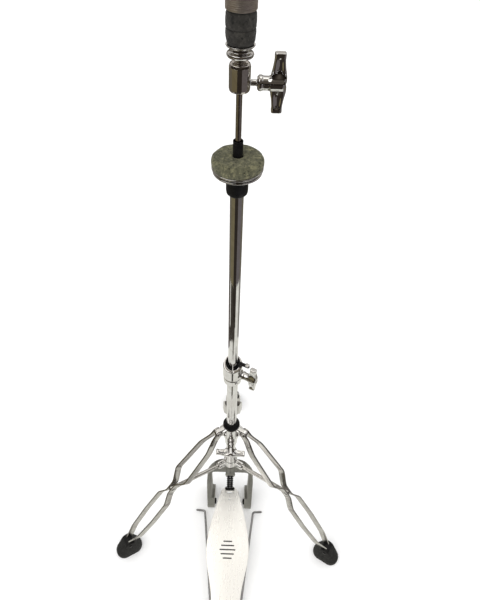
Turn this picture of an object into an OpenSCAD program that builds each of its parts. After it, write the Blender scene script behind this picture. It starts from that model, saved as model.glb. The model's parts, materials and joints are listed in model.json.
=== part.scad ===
// Hi-hat stand: double-braced folding tripod, telescoping column, chain-driven
// footboard, cymbal seat and clutch. Units are millimetres, +Z is up, X runs to
// the right and the player stands on the -Y side.

/* [Column] */
// Outer diameter of the lower tube
lower_tube_d = 19; // [18.6:0.1:20]
// Outer diameter of the upper tube
upper_tube_d = 15.9; // [15:0.1:16]
// Diameter of the pull rod
rod_d = 6.3; // [5.5:0.1:6.4]
// Height of the top of the cymbal seat felt
seat_h = 949; // [935:1:952]
// Height of the lower face of the height clamp
clamp_h = 520; // [510:1:525]

/* [Tripod] */
// Height of the hinges at the top of the legs
pivot_h = 354; // [350:1:354]
// Distance of those hinges from the column axis
pivot_r = 30; // [29:0.5:32]
// Distance of the lower end of a leg from the column axis
leg_tip_r = 266; // [262:1:268]
// Height of the lower end of a leg
leg_tip_h = 34; // [33:1:36]
// Depth of a flat leg bar
bar_depth = 15; // [13:0.5:16]
// Thickness of a flat leg bar
bar_t = 3; // [2.5:0.1:3.2]
// Height of the brace hinges on the hub
brace_h = 200; // [199:0.5:202]

/* [Base frame] */
// Overall width of the cast frame
frame_w = 107; // [104:1:109]
// Height of the top of the cast frame
frame_h = 187; // [186:0.5:187.5]
// Width of the opening between its feet
opening_w = 85; // [81:1:86]

/* [Pedal] */
// Distance of the pedal hinge in front of the column axis
heel_y = 290; // [286:1:294]
// Height of the pedal hinge
heel_h = 24; // [23:0.5:26]
// Upward slope of the footboard at rest, in degrees
board_pitch = 6.2; // [6:0.1:6.4]
// Thickness of the footboard
board_t = 5; // [4:0.5:5]

/* [Clutch] */
// Height of the lower face of the clutch
clutch_h = 1017; // [1014:1:1022]
// Diameter of the felts in the clutch
clutch_felt_d = 27.6; // [26:0.2:29]

/* [Hidden] */
$fn = 64;
hull_fn = 32;

run_gap = 0.06;     // radial clearance of a hinge pin in its eye
fit_gap = 0.1;      // radial clearance of a part that slides on a tube
side_gap = 0.3;     // clearance between faces that move past each other
tube_wall = 1.2;

left_az = 210;
right_az = 330;
back_az = 90;

// rubber feet of the tripod
foot_w = 36;
foot_l = 58;
foot_r = 263;

// the column stands so that the whole stand is centred from front to back
heel_end = 400;
col_y = (heel_end - foot_r - foot_l / 2) / 2;

lower_r = lower_tube_d / 2;
upper_r = upper_tube_d / 2;
rod_r = rod_d / 2;
upper_bore_r = upper_r - tube_wall;
lower_bore_r = upper_r + 0.35;

steel = "silver";
cast = "darkgray";
black = "#1c1c1e";

module at_column(z = 0) translate([0, col_y, z]) children();

// x runs outward from the column along the azimuth, y sideways, z up
module at_azimuth(az) translate([0, col_y, 0]) rotate([0, 0, az]) children();

// ring with a bore
module ring(r, bore, h) {
  rotate_extrude() translate([bore, 0]) square([r - bore, h]);
}

// cylinder with its two rims chamfered and a bore
module turned(r, bore, h, c) {
  rotate_extrude() polygon([[bore, 0], [r - c, 0], [r, c], [r, h - c], [r - c, h], [bore, h]]);
}

// pin along y, centred
module pin_y(r, h) rotate([90, 0, 0]) cylinder(r = r, h = h, center = true);
// pin along x, centred
module pin_x(r, h) rotate([0, 90, 0]) cylinder(r = r, h = h, center = true);

// plate in the x-z plane, centred on y, with a given thickness
module plate_xz(t) rotate([90, 0, 0]) linear_extrude(t, center = true) children();
// plate in the y-z plane, centred on x; the outline is drawn as (y, z)
module plate_yz(t) rotate([90, 0, 90]) linear_extrude(t, center = true) children();

// ---- outlines -------------------------------------------------------------

// polyline with each inner corner replaced by a short curve
function between(a, b, t) = a + (b - a) * t;
function toward(a, b, d) = a + (b - a) * (d / norm(b - a));
function corner(a, b, c, d) = [for (t = [0 : 0.2 : 1])
  let (p = toward(b, a, d), q = toward(b, c, d))
  between(between(p, b, t), between(b, q, t), t)];
function softened(pts, d) = concat([pts[0]],
  [for (i = [1 : len(pts) - 2]) each corner(pts[i - 1], pts[i], pts[i + 1], d)],
  [pts[len(pts) - 1]]);

// unit normal of a polyline at point i
function heading(pts, i) = let (a = pts[max(i - 1, 0)], b = pts[min(i + 1, len(pts) - 1)])
  (b - a) / norm(b - a);
function normal(pts, i) = let (h = heading(pts, i)) [-h[1], h[0]];
module band(pts, t) {
  polygon(concat([for (i = [0 : len(pts) - 1]) pts[i] + normal(pts, i) * t / 2],
    [for (i = [len(pts) - 1 : -1 : 0]) pts[i] - normal(pts, i) * t / 2]));
}

// ---- wing bolts -----------------------------------------------------------

wing_hub_r = 7.3;
wing_hub_l = 27;
wing_span = 28;
wing_arm_x = 20;
wing_root_w = 15;
wing_tip_w = 9.6;
wing_t = 9;

// wing bolt along +x: the hub starts at x = 0 and the screw runs to x = -screw_l
module wing_bolt(screw_r, screw_l, turn) {
  color(steel) rotate([turn, 0, 0]) {
    rotate([0, 90, 0]) turned(wing_hub_r, 0, wing_hub_l, 1.5);
    for (side = [1, -1]) hull() {
      translate([wing_arm_x, 0, side * 4])
        cube([wing_root_w, wing_t, 2], center = true);
      translate([wing_arm_x, 0, side * (wing_span - 1)])
        cube([wing_tip_w, wing_t - 2, 2], center = true);
    }
    translate([-screw_l, 0, 0]) rotate([0, 90, 0]) cylinder(r = screw_r, h = screw_l + 1);
  }
}

// ---- base frame -----------------------------------------------------------

frame_corner_r = 10;
frame_opening_h = 152;
frame_front_t = 9;
frame_rear_t = 8;
foot_front = 35;
foot_rear = 18;
foot_h = 14;
socket_floor = 156;
socket_low = 146;
socket_r = 12.5;
socket_front_r = 11;
socket_front_y = -4;
set_screw_r = 1.8;
set_screw_h = 163;
rod_hole_r = 5;
hook_h = 10.8;
hook_y = 22;
bush_r = 5;
bush_bore_r = 3;
bush_flange_r = 6.8;
sole_w = 10;
sole_in = opening_w / 2 - 6.5;

// right half of the arch, from the foot up to the middle
function arch_half() = let (half = frame_w / 2) [[half, 0], [half, 108], [half - 1, 124],
  [half - 3, 136], [half - 6, 147], [half - 11, 159], [half - 19, 174], [half - 27, 183],
  [half - 35, frame_h]];

module frame_front() {
  right = arch_half();
  open_half = opening_w / 2;
  corner_x = open_half - frame_corner_r;
  difference() {
    polygon(concat(right, [for (i = [len(right) - 1 : -1 : 0]) [-right[i][0], right[i][1]]]));
    translate([-open_half, -1]) square([opening_w, frame_opening_h - frame_corner_r + 1]);
    translate([-corner_x, -1]) square([2 * corner_x, frame_opening_h + 1]);
    for (s = [1, -1]) translate([s * corner_x, frame_opening_h - frame_corner_r])
      circle(r = frame_corner_r);
  }
}

module frame_side() {
  polygon([[-foot_front, 0], [-foot_front, foot_h], [-16, 110], [-frame_front_t, 150],
    [-frame_front_t, frame_h + 1], [frame_rear_t, frame_h + 1], [frame_rear_t, 150],
    [foot_rear, foot_h], [foot_rear, 0]]);
}

// the widened lower end of one foot
module sole_side() {
  polygon([[-foot_front, 0], [-foot_front, foot_h], [-foot_front + 7, 46], [0, 30],
    [foot_rear, foot_h], [foot_rear, 0]]);
}

module base_frame() color(cast) at_column() difference() {
  union() {
    intersection() {
      plate_xz(100) frame_front();
      plate_yz(frame_w + 2) frame_side();
    }
    for (s = [1, -1]) translate([s * (sole_in + sole_w / 2), 0, 0]) plate_yz(sole_w) sole_side();
    translate([0, 0, socket_low]) turned(socket_r, 0, frame_h - socket_low, 1);
    translate([0, socket_front_y, socket_low])
      turned(socket_front_r, 0, frame_h - socket_low, 1);
  }
  translate([0, 0, socket_floor]) cylinder(r = lower_r + 0.05, h = 60);
  translate([0, 0, socket_low - 5]) cylinder(r = rod_hole_r, h = 40);
  translate([0, -lower_r - 4, set_screw_h]) pin_y(set_screw_r, 10);
  for (s = [1, -1]) translate([s * frame_w / 2, -hook_y, hook_h]) pin_x(bush_r, 60);
}

module hook_bushes() color(black) at_column() for (s = [1, -1]) {
  translate([s * sole_in, -hook_y, hook_h]) rotate([0, s * 90, 0]) {
    translate([0, 0, -4]) ring(bush_flange_r, bush_bore_r, 4);
    ring(bush_r, bush_bore_r, frame_w / 2 - sole_in);
  }
}

// ---- lower column ---------------------------------------------------------

module lower_tube() color(steel) at_column(socket_floor)
  ring(lower_r, lower_bore_r, clamp_h + clamp_ring_h - socket_floor);

spring_foot_h = 176;
module spring_seat() color(black) at_column(socket_floor)
  turned(lower_bore_r, rod_r + 0.2, spring_foot_h - socket_floor, 0.5);

// ---- hub and braces -------------------------------------------------------

hub_r = 13.5;
hub_top = 244;
brace_r = 26;
brace_t = 4;
ear_t = 3.5;
eye_r = 6.5;
brace_pin_r = 2.5;
ear_y = brace_t / 2 + side_gap + ear_t / 2;

module brace_hub() color(steel) at_column() difference() {
  union() {
    translate([0, 0, frame_h]) turned(hub_r + 1, 0, 27, 2);
    translate([0, 0, frame_h]) turned(hub_r, 0, hub_top - frame_h, 2);
    for (az = [left_az, right_az, back_az], s = [1, -1]) rotate([0, 0, az])
      translate([0, s * ear_y, brace_h]) plate_xz(ear_t) {
        translate([brace_r, 0]) circle(r = eye_r);
        translate([0, -eye_r]) square([brace_r, 2 * eye_r]);
      }
  }
  translate([0, 0, frame_h - 1]) cylinder(r = lower_r + 0.05, h = 80);
  for (az = [left_az, right_az, back_az]) rotate([0, 0, az]) {
    translate([brace_r, 0, brace_h]) pin_y(brace_pin_r, 30);
    // room for the eye of the brace
    translate([brace_r, 0, brace_h]) rotate([90, 0, 0])
      cylinder(r = eye_r + 1, h = brace_t + 2 * side_gap, center = true);
  }
}

hub_pin_l = 2 * (ear_y + ear_t / 2);
module hub_pins() color(steel) for (az = [left_az, right_az, back_az])
  at_azimuth(az) translate([brace_r, 0, brace_h]) {
    pin_y(brace_pin_r, hub_pin_l);
    for (s = [1, -1]) translate([0, s * (hub_pin_l / 2 + 0.75), 0]) pin_y(4, 1.5);
  }

// the legs: x runs down along the leg, y sideways, z out of the leg's plane
leg_pitch = atan2(pivot_h - leg_tip_h, leg_tip_r - pivot_r);
leg_l = norm([pivot_h - leg_tip_h, leg_tip_r - pivot_r]);
pinch_s = 183;
bolt_s = leg_l - 12;
leg_pin_r = 2.5;
rivet_r = 2.5;
tongue_t = 8;
// sideways place of the middle of a bar where it meets the collar
bar_top_y = tongue_t / 2 + side_gap + bar_t / 2;
bar_pinch_y = brace_t / 2 + 0.7 + bar_t / 2;
bar_foot_y = 5.5;

module leg_frame(az) at_azimuth(az) translate([pivot_r, 0, pivot_h])
  rotate([0, leg_pitch, 0]) children();

function bar_path(side) = [for (p = softened([[-8, bar_top_y], [13, bar_top_y],
  [46, 15], [64, 16.3], [139, 20.2], [pinch_s - 18, bar_pinch_y], [pinch_s + 12, bar_pinch_y],
  [pinch_s + 36, 16], [leg_l - 117, 17], [leg_l - 53, 14],
  [leg_l - 18, bar_foot_y], [leg_l + 4, bar_foot_y]], 7)) [p[0], side * p[1]]];

module leg_bar(az, side) color(steel) leg_frame(az) difference() {
  intersection() {
    linear_extrude(bar_depth, center = true) band(bar_path(side), bar_t);
    // rounded ends seen from the side
    plate_xz(60) {
      circle(r = bar_depth / 2);
      translate([0, -bar_depth / 2]) square([leg_l - 4, bar_depth]);
      translate([leg_l - 4, 0]) circle(r = bar_depth / 2);
    }
  }
  pin_y(leg_pin_r + run_gap, 60);
  for (s = [pinch_s, bolt_s]) translate([s, 0, 0]) pin_y(rivet_r, 60);
}

rivet_head_r = 4.3;
rivet_head_t = 1.8;
module headed_pin(l) {
  pin_y(rivet_r, l);
  for (s = [1, -1]) translate([0, s * (l + rivet_head_t) / 2, 0]) rotate([90, 0, 0])
    translate([0, 0, -rivet_head_t / 2]) turned(rivet_head_r, 0, rivet_head_t, 0.5);
}

foot_bolt_l = 27;
module leg_rivets(az) color(steel) leg_frame(az) {
  translate([pinch_s, 0, 0]) headed_pin(2 * bar_pinch_y + bar_t);
  translate([bolt_s, 0, 0]) headed_pin(foot_bolt_l);
}

// rubber boot on the lower end of a leg
boot_h = 13;
boot_top_r = 11;
module leg_foot(az) color(black) difference() {
  hull() {
    at_azimuth(az) for (e = [1, -1]) translate([foot_r + e * (foot_l - foot_w) / 2, 0, 0])
      cylinder(r = foot_w / 2, h = boot_h, $fn = hull_fn);
    leg_frame(az) translate([bolt_s, 0, 0]) rotate([90, 0, 0])
      cylinder(r = boot_top_r, h = foot_bolt_l - 2, center = true, $fn = hull_fn);
  }
  leg_frame(az) for (side = [1, -1])
    linear_extrude(bar_depth + 0.2, center = true) band(bar_path(side), bar_t + 0.2);
  leg_frame(az) translate([bolt_s, 0, 0]) pin_y(rivet_r + 0.05, foot_bolt_l + 0.2);
  leg_frame(az) translate([bolt_s, 0, 0]) for (s = [1, -1])
    translate([0, s * (foot_bolt_l / 2 + 10), 0]) pin_y(rivet_head_r + 0.3, 20);
}

brace_w = 10;
brace_end_r = 7.5;
slot_l = 11.5;
slot_r = 4.2;
slot_drop = 1.5;
pinch_x = pivot_r + pinch_s * cos(leg_pitch);
pinch_z = pivot_h - pinch_s * sin(leg_pitch);
brace_l = norm([pinch_x - brace_r, pinch_z - brace_h]);
brace_tilt = atan2(pinch_z - brace_h, pinch_x - brace_r);

module brace(az) color(steel) at_azimuth(az) translate([brace_r, 0, brace_h])
  rotate([0, -brace_tilt, 0]) difference() {
    union() {
      plate_xz(brace_t) {
        circle(r = eye_r);
        translate([0, -brace_w / 2]) square([brace_l, brace_w]);
        translate([brace_l, 0]) circle(r = brace_end_r);
        translate([brace_l - slot_l - 4, -brace_end_r]) square([slot_l + 4, 2 * brace_end_r]);
      }
      translate([14, -3.2, -brace_w / 2]) cube([brace_l - slot_l - 32, 6.4, brace_w]);
    }
    pin_y(brace_pin_r + run_gap, 20);
    // slot that leaves the rivet free while the tripod folds
    translate([brace_l, 0, 0]) pin_y(rivet_r + 0.2, 20);
    translate([brace_l - slot_l + 1, 0, -slot_drop]) pin_y(slot_r, 20);
    translate([brace_l - slot_l + 1, -10, -slot_drop - slot_r])
      cube([slot_l - 1, 20, slot_drop + slot_r + rivet_r + 0.5]);
  }

// ---- sliding collar -------------------------------------------------------

collar_r = 16.5;
collar_top = 362;
collar_low = 318;
neck_low = 288;
neck_r = 12.2;
collar_bush_r = 16.2;
collar_bush_top = 372;
bush_lip_r = lower_r + 1.2;
bush_sleeve_r = 11.4;
tongue_r = 8;
shoulder_x = pivot_r - 8.5;
wing_h = 325;
wing_boss_y = 22;
wing_screw_r = 3;

module leg_collar() color(steel) at_column() difference() {
  union() {
    rotate_extrude() polygon([[0, neck_low], [neck_r - 1, neck_low], [neck_r, neck_low + 1],
      [neck_r + 0.8, collar_low - 12], [collar_r, collar_low + 8], [collar_r, collar_top - 1.5],
      [collar_r - 1.5, collar_top], [0, collar_top]]);
    for (az = [left_az, right_az, back_az]) rotate([0, 0, az])
      translate([0, 0, pivot_h]) {
        plate_xz(tongue_t) {
          translate([pivot_r, 0]) circle(r = tongue_r);
          polygon([[0, -22], [14, -22], [pivot_r, -tongue_r], [pivot_r, tongue_r], [0, tongue_r]]);
        }
        // shoulders that stiffen the tongues
        plate_xz(tongue_t + 8) polygon([[0, -18], [14, -18], [shoulder_x, -9], [shoulder_x, 5],
          [14, tongue_r - 1], [0, tongue_r - 1]]);
      }
    translate([0, -8, wing_h]) rotate([90, 0, 0]) turned(7.5, 0, wing_boss_y - 8, 1);
  }
  translate([0, 0, neck_low - 1]) cylinder(r = lower_r + 0.4, h = 100);
  translate([0, 0, neck_low + 14]) cylinder(r = bush_sleeve_r + 0.02, h = 100);
  for (az = [left_az, right_az, back_az]) rotate([0, 0, az])
    translate([pivot_r, 0, pivot_h]) pin_y(leg_pin_r, 30);
  translate([0, -15, wing_h]) pin_y(wing_screw_r + run_gap, 30);
}

module collar_bush() color(black) at_column() difference() {
  rotate_extrude() polygon([[lower_r + fit_gap, neck_low + 14.1], [bush_sleeve_r, neck_low + 14.1],
    [bush_sleeve_r, collar_top], [collar_bush_r, collar_top], [collar_bush_r, collar_top + 2.5],
    [collar_bush_r - 1, collar_top + 3.5], [bush_lip_r, collar_bush_top],
    [lower_r + fit_gap, collar_bush_top]]);
  translate([0, -10, wing_h]) pin_y(wing_screw_r + 0.4, 14);
}

leg_bolt_l = 2 * (bar_top_y + bar_t / 2 + side_gap);
module leg_bolts() color(steel) for (az = [left_az, right_az, back_az])
  at_azimuth(az) translate([pivot_r, 0, pivot_h]) headed_pin(leg_bolt_l);

module collar_wing_bolt() at_column(wing_h) translate([0, -wing_boss_y - side_gap, 0])
  rotate([0, 0, -90]) wing_bolt(wing_screw_r, wing_boss_y + side_gap - lower_r - 0.1, 84);

// ---- height clamp ---------------------------------------------------------

clamp_top = clamp_h + 57;
clamp_lip_drop = 14;
clamp_r = 15.5;
clamp_ring_h = 15;
clamp_wing_az = -25;
clamp_wing_h = clamp_h + 26;
clamp_boss_h = 16.8;
height_bush_r = upper_r + 3.8;
height_bush_h = 25;
key_az = -65;
key_h = clamp_h + 9;
key_r = 2.5;
strap_l = 30;
strap_h = clamp_top - 2;

module height_clamp() color(steel) at_column() difference() {
  union() {
    rotate_extrude() polygon([[0, clamp_h], [clamp_r - 1.5, clamp_h], [clamp_r, clamp_h + 1.5],
      [clamp_r, clamp_h + clamp_ring_h - 1], [clamp_r - 1, clamp_h + clamp_ring_h],
      [clamp_r + 0.7, clamp_h + clamp_ring_h + 2], [clamp_r + 0.7, clamp_top - 12],
      [clamp_r - 2, clamp_top], [0, clamp_top]]);
    // boss of the wing bolt
    translate([0, 0, clamp_wing_h]) rotate([0, 0, clamp_wing_az]) translate([5, 0, 0])
      rotate([0, 90, 0]) turned(8.5, 0, clamp_boss_h - 5, 1);
  }
  translate([0, 0, clamp_h - 1]) cylinder(r = lower_r + 0.05, h = clamp_ring_h + 1);
  translate([0, 0, clamp_h + clamp_ring_h - 0.1]) cylinder(r = height_bush_r + 0.02, h = 60);
  // slanting lip, lower towards the player
  translate([0, 0, clamp_top - clamp_lip_drop / 2]) rotate([atan2(clamp_lip_drop, 2 * clamp_r), 0, 0])
    translate([0, 0, 30]) cube([90, 90, 60], center = true);
  // split at the front
  translate([-1, -40, clamp_h + clamp_ring_h + 4]) cube([2, 40, 60]);
  translate([0, 0, clamp_wing_h]) rotate([0, 0, clamp_wing_az]) rotate([0, 90, 0])
    cylinder(r = wing_screw_r + run_gap, h = 40);
  translate([0, 0, key_h]) rotate([0, 0, key_az]) rotate([0, 90, 0]) cylinder(r = key_r, h = 40);
}

module height_bush() color(black) at_column(clamp_h + clamp_ring_h) difference() {
  ring(height_bush_r, upper_r + fit_gap, height_bush_h);
  translate([-1, -40, -1]) cube([2, 40, 60]);
}

// plastic strap over the wing bolt, held by a small square nut
module clamp_strap() color(black) at_column(strap_h) rotate([0, 0, clamp_wing_az]) difference() {
  union() {
    translate([clamp_r - 4, -3, 0]) cube([strap_l - clamp_r + 4, 6, 2.4]);
    translate([clamp_r - 4, -3, -5.6]) cube([3, 6, 7]);
  }
  translate([strap_l - 4, 0, -1]) cylinder(r = 1.5, h = 5);
}

module clamp_fasteners() color(steel) at_column() {
  // square-headed key screw of the lower ring
  translate([0, 0, key_h]) rotate([0, 0, key_az]) {
    translate([lower_r + 0.1, 0, 0]) rotate([0, 90, 0]) cylinder(r = key_r, h = clamp_r - lower_r + 2);
    translate([clamp_r + 1.5, 0, 0]) rotate([0, 90, 0]) turned(4, 0, 2, 0.4);
    translate([clamp_r + 3, -2.75, -2.75]) cube([6, 5.5, 5.5]);
  }
  // nut and stud of the strap
  rotate([0, 0, clamp_wing_az]) translate([strap_l - 4, 0, strap_h]) {
    translate([0, 0, -1]) cylinder(r = 1.45, h = 7);
    translate([-3, -3, 2.4]) cube([6, 6, 3.2]);
  }
}

module height_wing_bolt() at_column(clamp_wing_h) rotate([0, 0, clamp_wing_az])
  translate([clamp_boss_h + side_gap, 0, 0])
    wing_bolt(wing_screw_r, clamp_boss_h + side_gap - height_bush_r - 0.1, 0);

// ---- upper column ---------------------------------------------------------

upper_tube_low = 400;
seat_felt_h = 13;
seat_cup_h = 3;
seat_gap = 1.5;
seat_disc_top = seat_h - seat_felt_h - seat_cup_h - seat_gap;
seat_disc_h = 7;
seat_disc_low = seat_disc_top - seat_disc_h;
seat_base_h = 24;
seat_base_r = 12.6;
seat_base_low = seat_disc_low - seat_base_h;
seat_felt_r = 28.7;
sleeve_r = 5.5;
sleeve_foot_r = 5.2;
sleeve_bore_r = rod_r + 1.45;
sleeve_top = seat_h + 17;
tilt_y = 20;
tilt_screw_r = 2.5;
ridge_r = 1.3;

module upper_tube() color(steel) at_column(upper_tube_low)
  ring(upper_r, upper_bore_r, seat_disc_low - 4 - upper_tube_low);

module seat_base() color(black) at_column(seat_base_low) rotate_extrude()
  polygon([[upper_r + 0.02, 0], [seat_base_r - 2.5, 0], [seat_base_r - 0.6, 2], [seat_base_r, 5],
    [seat_base_r, seat_base_h], [rod_r + 1.2, seat_base_h], [rod_r + 1.2, seat_base_h - 4],
    [upper_r + 0.02, seat_base_h - 4]]);

module seat_disc() color(steel) at_column(seat_disc_low) difference() {
  union() {
    rotate_extrude() polygon([[9, 0], [14, 0], [24, 3.8], [seat_felt_r - 1.6, seat_disc_h - 1.6],
      [seat_felt_r - 1.6, seat_disc_h], [9, seat_disc_h]]);
    // ridge that the cup rocks on
    for (s = [1, -1]) translate([s * 17, 0, seat_disc_h]) pin_x(ridge_r, 12);
  }
  translate([0, tilt_y, -1]) cylinder(r = tilt_screw_r + run_gap, h = 20);
}

module tilt_screw() color(steel) at_column(seat_disc_low) translate([0, tilt_y, 0]) {
  cylinder(r = tilt_screw_r, h = seat_disc_h + seat_gap - 0.3);
  translate([0, 0, -10]) turned(5, 0, 10, 0.8);
}

module seat_cup() color(steel) at_column(seat_disc_top + seat_gap) rotate_extrude()
  polygon([[sleeve_foot_r + 0.02, -4.8], [8, -4.8], [8.4, 0], [seat_felt_r - 1.5, 0],
    [seat_felt_r - 0.4, 1.4], [seat_felt_r - 0.4, seat_cup_h - 0.1],
    [sleeve_foot_r + 0.02, seat_cup_h - 0.1]]);

module seat_felt() color("dimgray") at_column(seat_h - seat_felt_h)
  turned(seat_felt_r, sleeve_r + 0.1, seat_felt_h, 3);

module seat_sleeve() color(black) at_column() {
  foot_h = seat_disc_low + 1.8;
  rotate_extrude() polygon([[sleeve_bore_r, foot_h], [sleeve_foot_r, foot_h],
    [sleeve_foot_r, seat_h + 0.3], [sleeve_r, seat_h + 0.3], [sleeve_r, sleeve_top - 0.5],
    [sleeve_r - 0.4, sleeve_top], [sleeve_bore_r, sleeve_top]]);
}

// ---- pull rod -------------------------------------------------------------

rod_top = clutch_h + 98;
clevis_pin_h = 120;
clevis_top = 143;
clevis_block_low = 128;
clevis_half_w = 9.6;
chain_half_w = 7.5;
ear_in = chain_half_w + side_gap;
collar_disc_h = 10;
spring_collar_h = 262;
spring_mean_r = 5.8;
spring_wire_r = 0.9;
spring_turns = 11;

module pull_rod() color(steel) at_column(clevis_block_low + 4)
  turned(rod_r, 0, rod_top - clevis_block_low - 4, 0.8);

module spring_collar() color(steel) at_column(spring_collar_h)
  turned(upper_bore_r + 0.6, rod_r + 0.02, collar_disc_h, 0.5);

// coil spring: rings of points along a helix joined into a tube
module return_spring() color(steel) at_column(spring_foot_h + spring_wire_r + 0.1) {
  rise = spring_collar_h - spring_foot_h - 2 * spring_wire_r - 0.2;
  steps = spring_turns * 18;
  sides = 6;
  points = [for (i = [0 : steps], k = [0 : sides - 1])
    let (a = 360 * spring_turns * i / steps, b = 360 * k / sides,
      r = spring_mean_r + spring_wire_r * cos(b))
    [r * cos(a), r * sin(a), rise * i / steps + spring_wire_r * sin(b)]];
  skin = [for (i = [0 : steps - 1], k = [0 : sides - 1])
    let (n = (k + 1) % sides)
    [i * sides + k, (i + 1) * sides + k, (i + 1) * sides + n, i * sides + n]];
  polyhedron(points, concat(skin, [[for (k = [0 : sides - 1]) k]],
    [[for (k = [sides - 1 : -1 : 0]) steps * sides + k]]));
}

clevis_pin_r = 2;
module clevis() color(steel) at_column() difference() {
  union() {
    for (s = [1, -1]) translate([s * (ear_in + clevis_half_w) / 2, 0, 0])
      plate_yz(clevis_half_w - ear_in) {
        translate([0, clevis_pin_h]) circle(r = 6);
        translate([-6, clevis_pin_h]) square([12, clevis_block_low + 4 - clevis_pin_h]);
      }
    translate([0, 0, clevis_block_low]) intersection() {
      translate([-clevis_half_w, -6, 0]) cube([2 * clevis_half_w, 12, 8]);
      turned(clevis_half_w + 1, 0, 8, 1);
    }
    translate([0, 0, clevis_block_low + 6]) turned(6, 0, clevis_top - clevis_block_low - 6, 1);
  }
  translate([0, 0, clevis_block_low + 4]) cylinder(r = rod_r + 0.02, h = 30);
  translate([0, 0, clevis_pin_h]) pin_x(clevis_pin_r + 0.02, 40);
}

module clevis_pin() color(steel) at_column(clevis_pin_h) {
  pin_x(clevis_pin_r, 2 * clevis_half_w + 0.4);
  for (s = [1, -1]) translate([s * (clevis_half_w + 0.8), 0, 0]) pin_x(3.2, 1.4);
}

// ---- footboard ------------------------------------------------------------

toe_pin_y = 281;
toe_pin_h = 11.7;
board_tip = 284;
tip_corner = 6;
slot_y = 273.7;
slot_half = 4;
board_slot_r = 2.2;
board_low = 1;
knuckle_r = 7;
knuckle_half = 31;
hinge_r = 3;

// x runs across, y from the hinge to the toe along the board, z out of it
module board_frame() at_column(heel_h) translate([0, -heel_y, 0]) rotate([board_pitch, 0, 0])
  children();

// half width of the board at a distance from the hinge
waist_half = 31;
wide_half = 48;
wide_y = 152;
toe_half = 17.5;
function ease(t) = (1 - cos(180 * t)) / 2;
function board_half(y) = y < 45 ? waist_half
  : y < wide_y ? waist_half + (wide_half - waist_half) * ease((y - 45) / (wide_y - 45))
  : wide_half + (toe_half + 0.5 - wide_half) * pow(ease((y - wide_y) / (2 * (board_tip - wide_y))) * 2, 0.85);

module board_outline() {
  last = board_tip - tip_corner;
  tip_in = toe_half - tip_corner;
  ys = [for (y = [4 : 10 : last]) y];
  polygon(concat([for (y = ys) [board_half(y), y]],
    [for (a = [0 : 15 : 90]) [tip_in + tip_corner * cos(a), last + tip_corner * sin(a)]],
    [for (a = [90 : 15 : 180]) [-tip_in + tip_corner * cos(a), last + tip_corner * sin(a)]],
    [for (i = [len(ys) - 1 : -1 : 0]) [-board_half(ys[i]), ys[i]]]));
}

module footboard() color("gainsboro") board_frame() difference() {
  union() {
    translate([0, 0, board_low]) linear_extrude(board_t) board_outline();
    pin_x(knuckle_r, 2 * knuckle_half);
    translate([-knuckle_half, 0, -2]) cube([2 * knuckle_half, 12, board_low + board_t + 2]);
  }
  pin_x(hinge_r + run_gap, 100);
  // slot and hole behind the chain bracket
  for (s = [1, -1]) translate([s * slot_half, slot_y, -5]) cylinder(r = board_slot_r, h = 20);
  translate([-slot_half, slot_y - board_slot_r, -5]) cube([2 * slot_half, 2 * board_slot_r, 20]);
  translate([0, 258.5, -5]) cylinder(r = 2.2, h = 20);
  bracket_screws();
}

bracket_half = 10.5;
bracket_front = 277.4;
bracket_l = 7;
// holes of the two screws that hold the bracket on the board
module bracket_screws() for (s = [1, -1]) translate([s * 4.2, 281, -5]) cylinder(r = 1.4, h = 20);

module toe_bracket() color(black) board_frame() difference() {
  union() {
    translate([-bracket_half, bracket_front, board_low + board_t]) cube([2 * bracket_half, bracket_l, 2.2]);
    for (s = [1, -1]) translate([s * (ear_in + bracket_half) / 2, 0, 0])
      plate_yz(bracket_half - ear_in) {
        translate([toe_pin_y, toe_pin_h]) circle(r = 3.6);
        translate([toe_pin_y - 3.6, board_low + board_t]) square([7.2, toe_pin_h - board_low - board_t]);
      }
  }
  translate([0, toe_pin_y, toe_pin_h]) pin_x(chain_pin_r + 0.02, 40);
  bracket_screws();
}

// ---- chain ----------------------------------------------------------------

chain_n = 7;
chain_pin_r = 1.15;
roller_r = 2.4;
strand_x = 3.2;
link_t = 0.9;
open_bore_r = 2;
toe_y = -heel_y + toe_pin_y * cos(board_pitch) - toe_pin_h * sin(board_pitch);
toe_h = heel_h + toe_pin_y * sin(board_pitch) + toe_pin_h * cos(board_pitch);
chain_l = norm([toe_y, clevis_pin_h - toe_h]);
chain_pitch = chain_l / chain_n;
chain_lean = atan2(-toe_y, clevis_pin_h - toe_h);

// z runs from the toe up the chain, with its origin at the upper pin
module chain_frame() at_column(clevis_pin_h) rotate([-chain_lean, 0, 0]) children();

module link_plate(x, bore_a, bore_b) translate([x, 0, 0]) plate_yz(link_t) difference() {
  union() {
    circle(r = 2.9);
    translate([0, -chain_pitch]) circle(r = 2.9);
    translate([-2, -chain_pitch]) square([4, chain_pitch]);
  }
  circle(r = bore_a);
  translate([0, -chain_pitch]) circle(r = bore_b);
}

module chain_links() color(black) chain_frame() for (i = [0 : chain_n - 1])
  translate([0, 0, -i * chain_pitch]) {
    first = i == 0 ? clevis_pin_r + run_gap : chain_pin_r + 0.02;
    last = i == chain_n - 1 ? open_bore_r : chain_pin_r + 0.02;
    xs = i % 2 == 0 ? [-strand_x - 2, -strand_x + 2, strand_x - 2, strand_x + 2] : [-6.3, 0, 6.3];
    for (x = xs) link_plate(x, first, last);
  }

module chain_rollers() color(black) chain_frame() {
  for (i = [0 : chain_n], s = [1, -1])
    translate([s * strand_x - 1.5, 0, -i * chain_pitch]) rotate([0, 90, 0])
      ring(i == 0 || i == chain_n ? 2.9 : roller_r, i == 0 ? clevis_pin_r + run_gap
        : i == chain_n ? open_bore_r : chain_pin_r + 0.02, 3);
  for (i = [1 : chain_n - 1]) translate([0, 0, -i * chain_pitch])
    pin_x(chain_pin_r, 2 * chain_half_w - 0.2);
}

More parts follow.
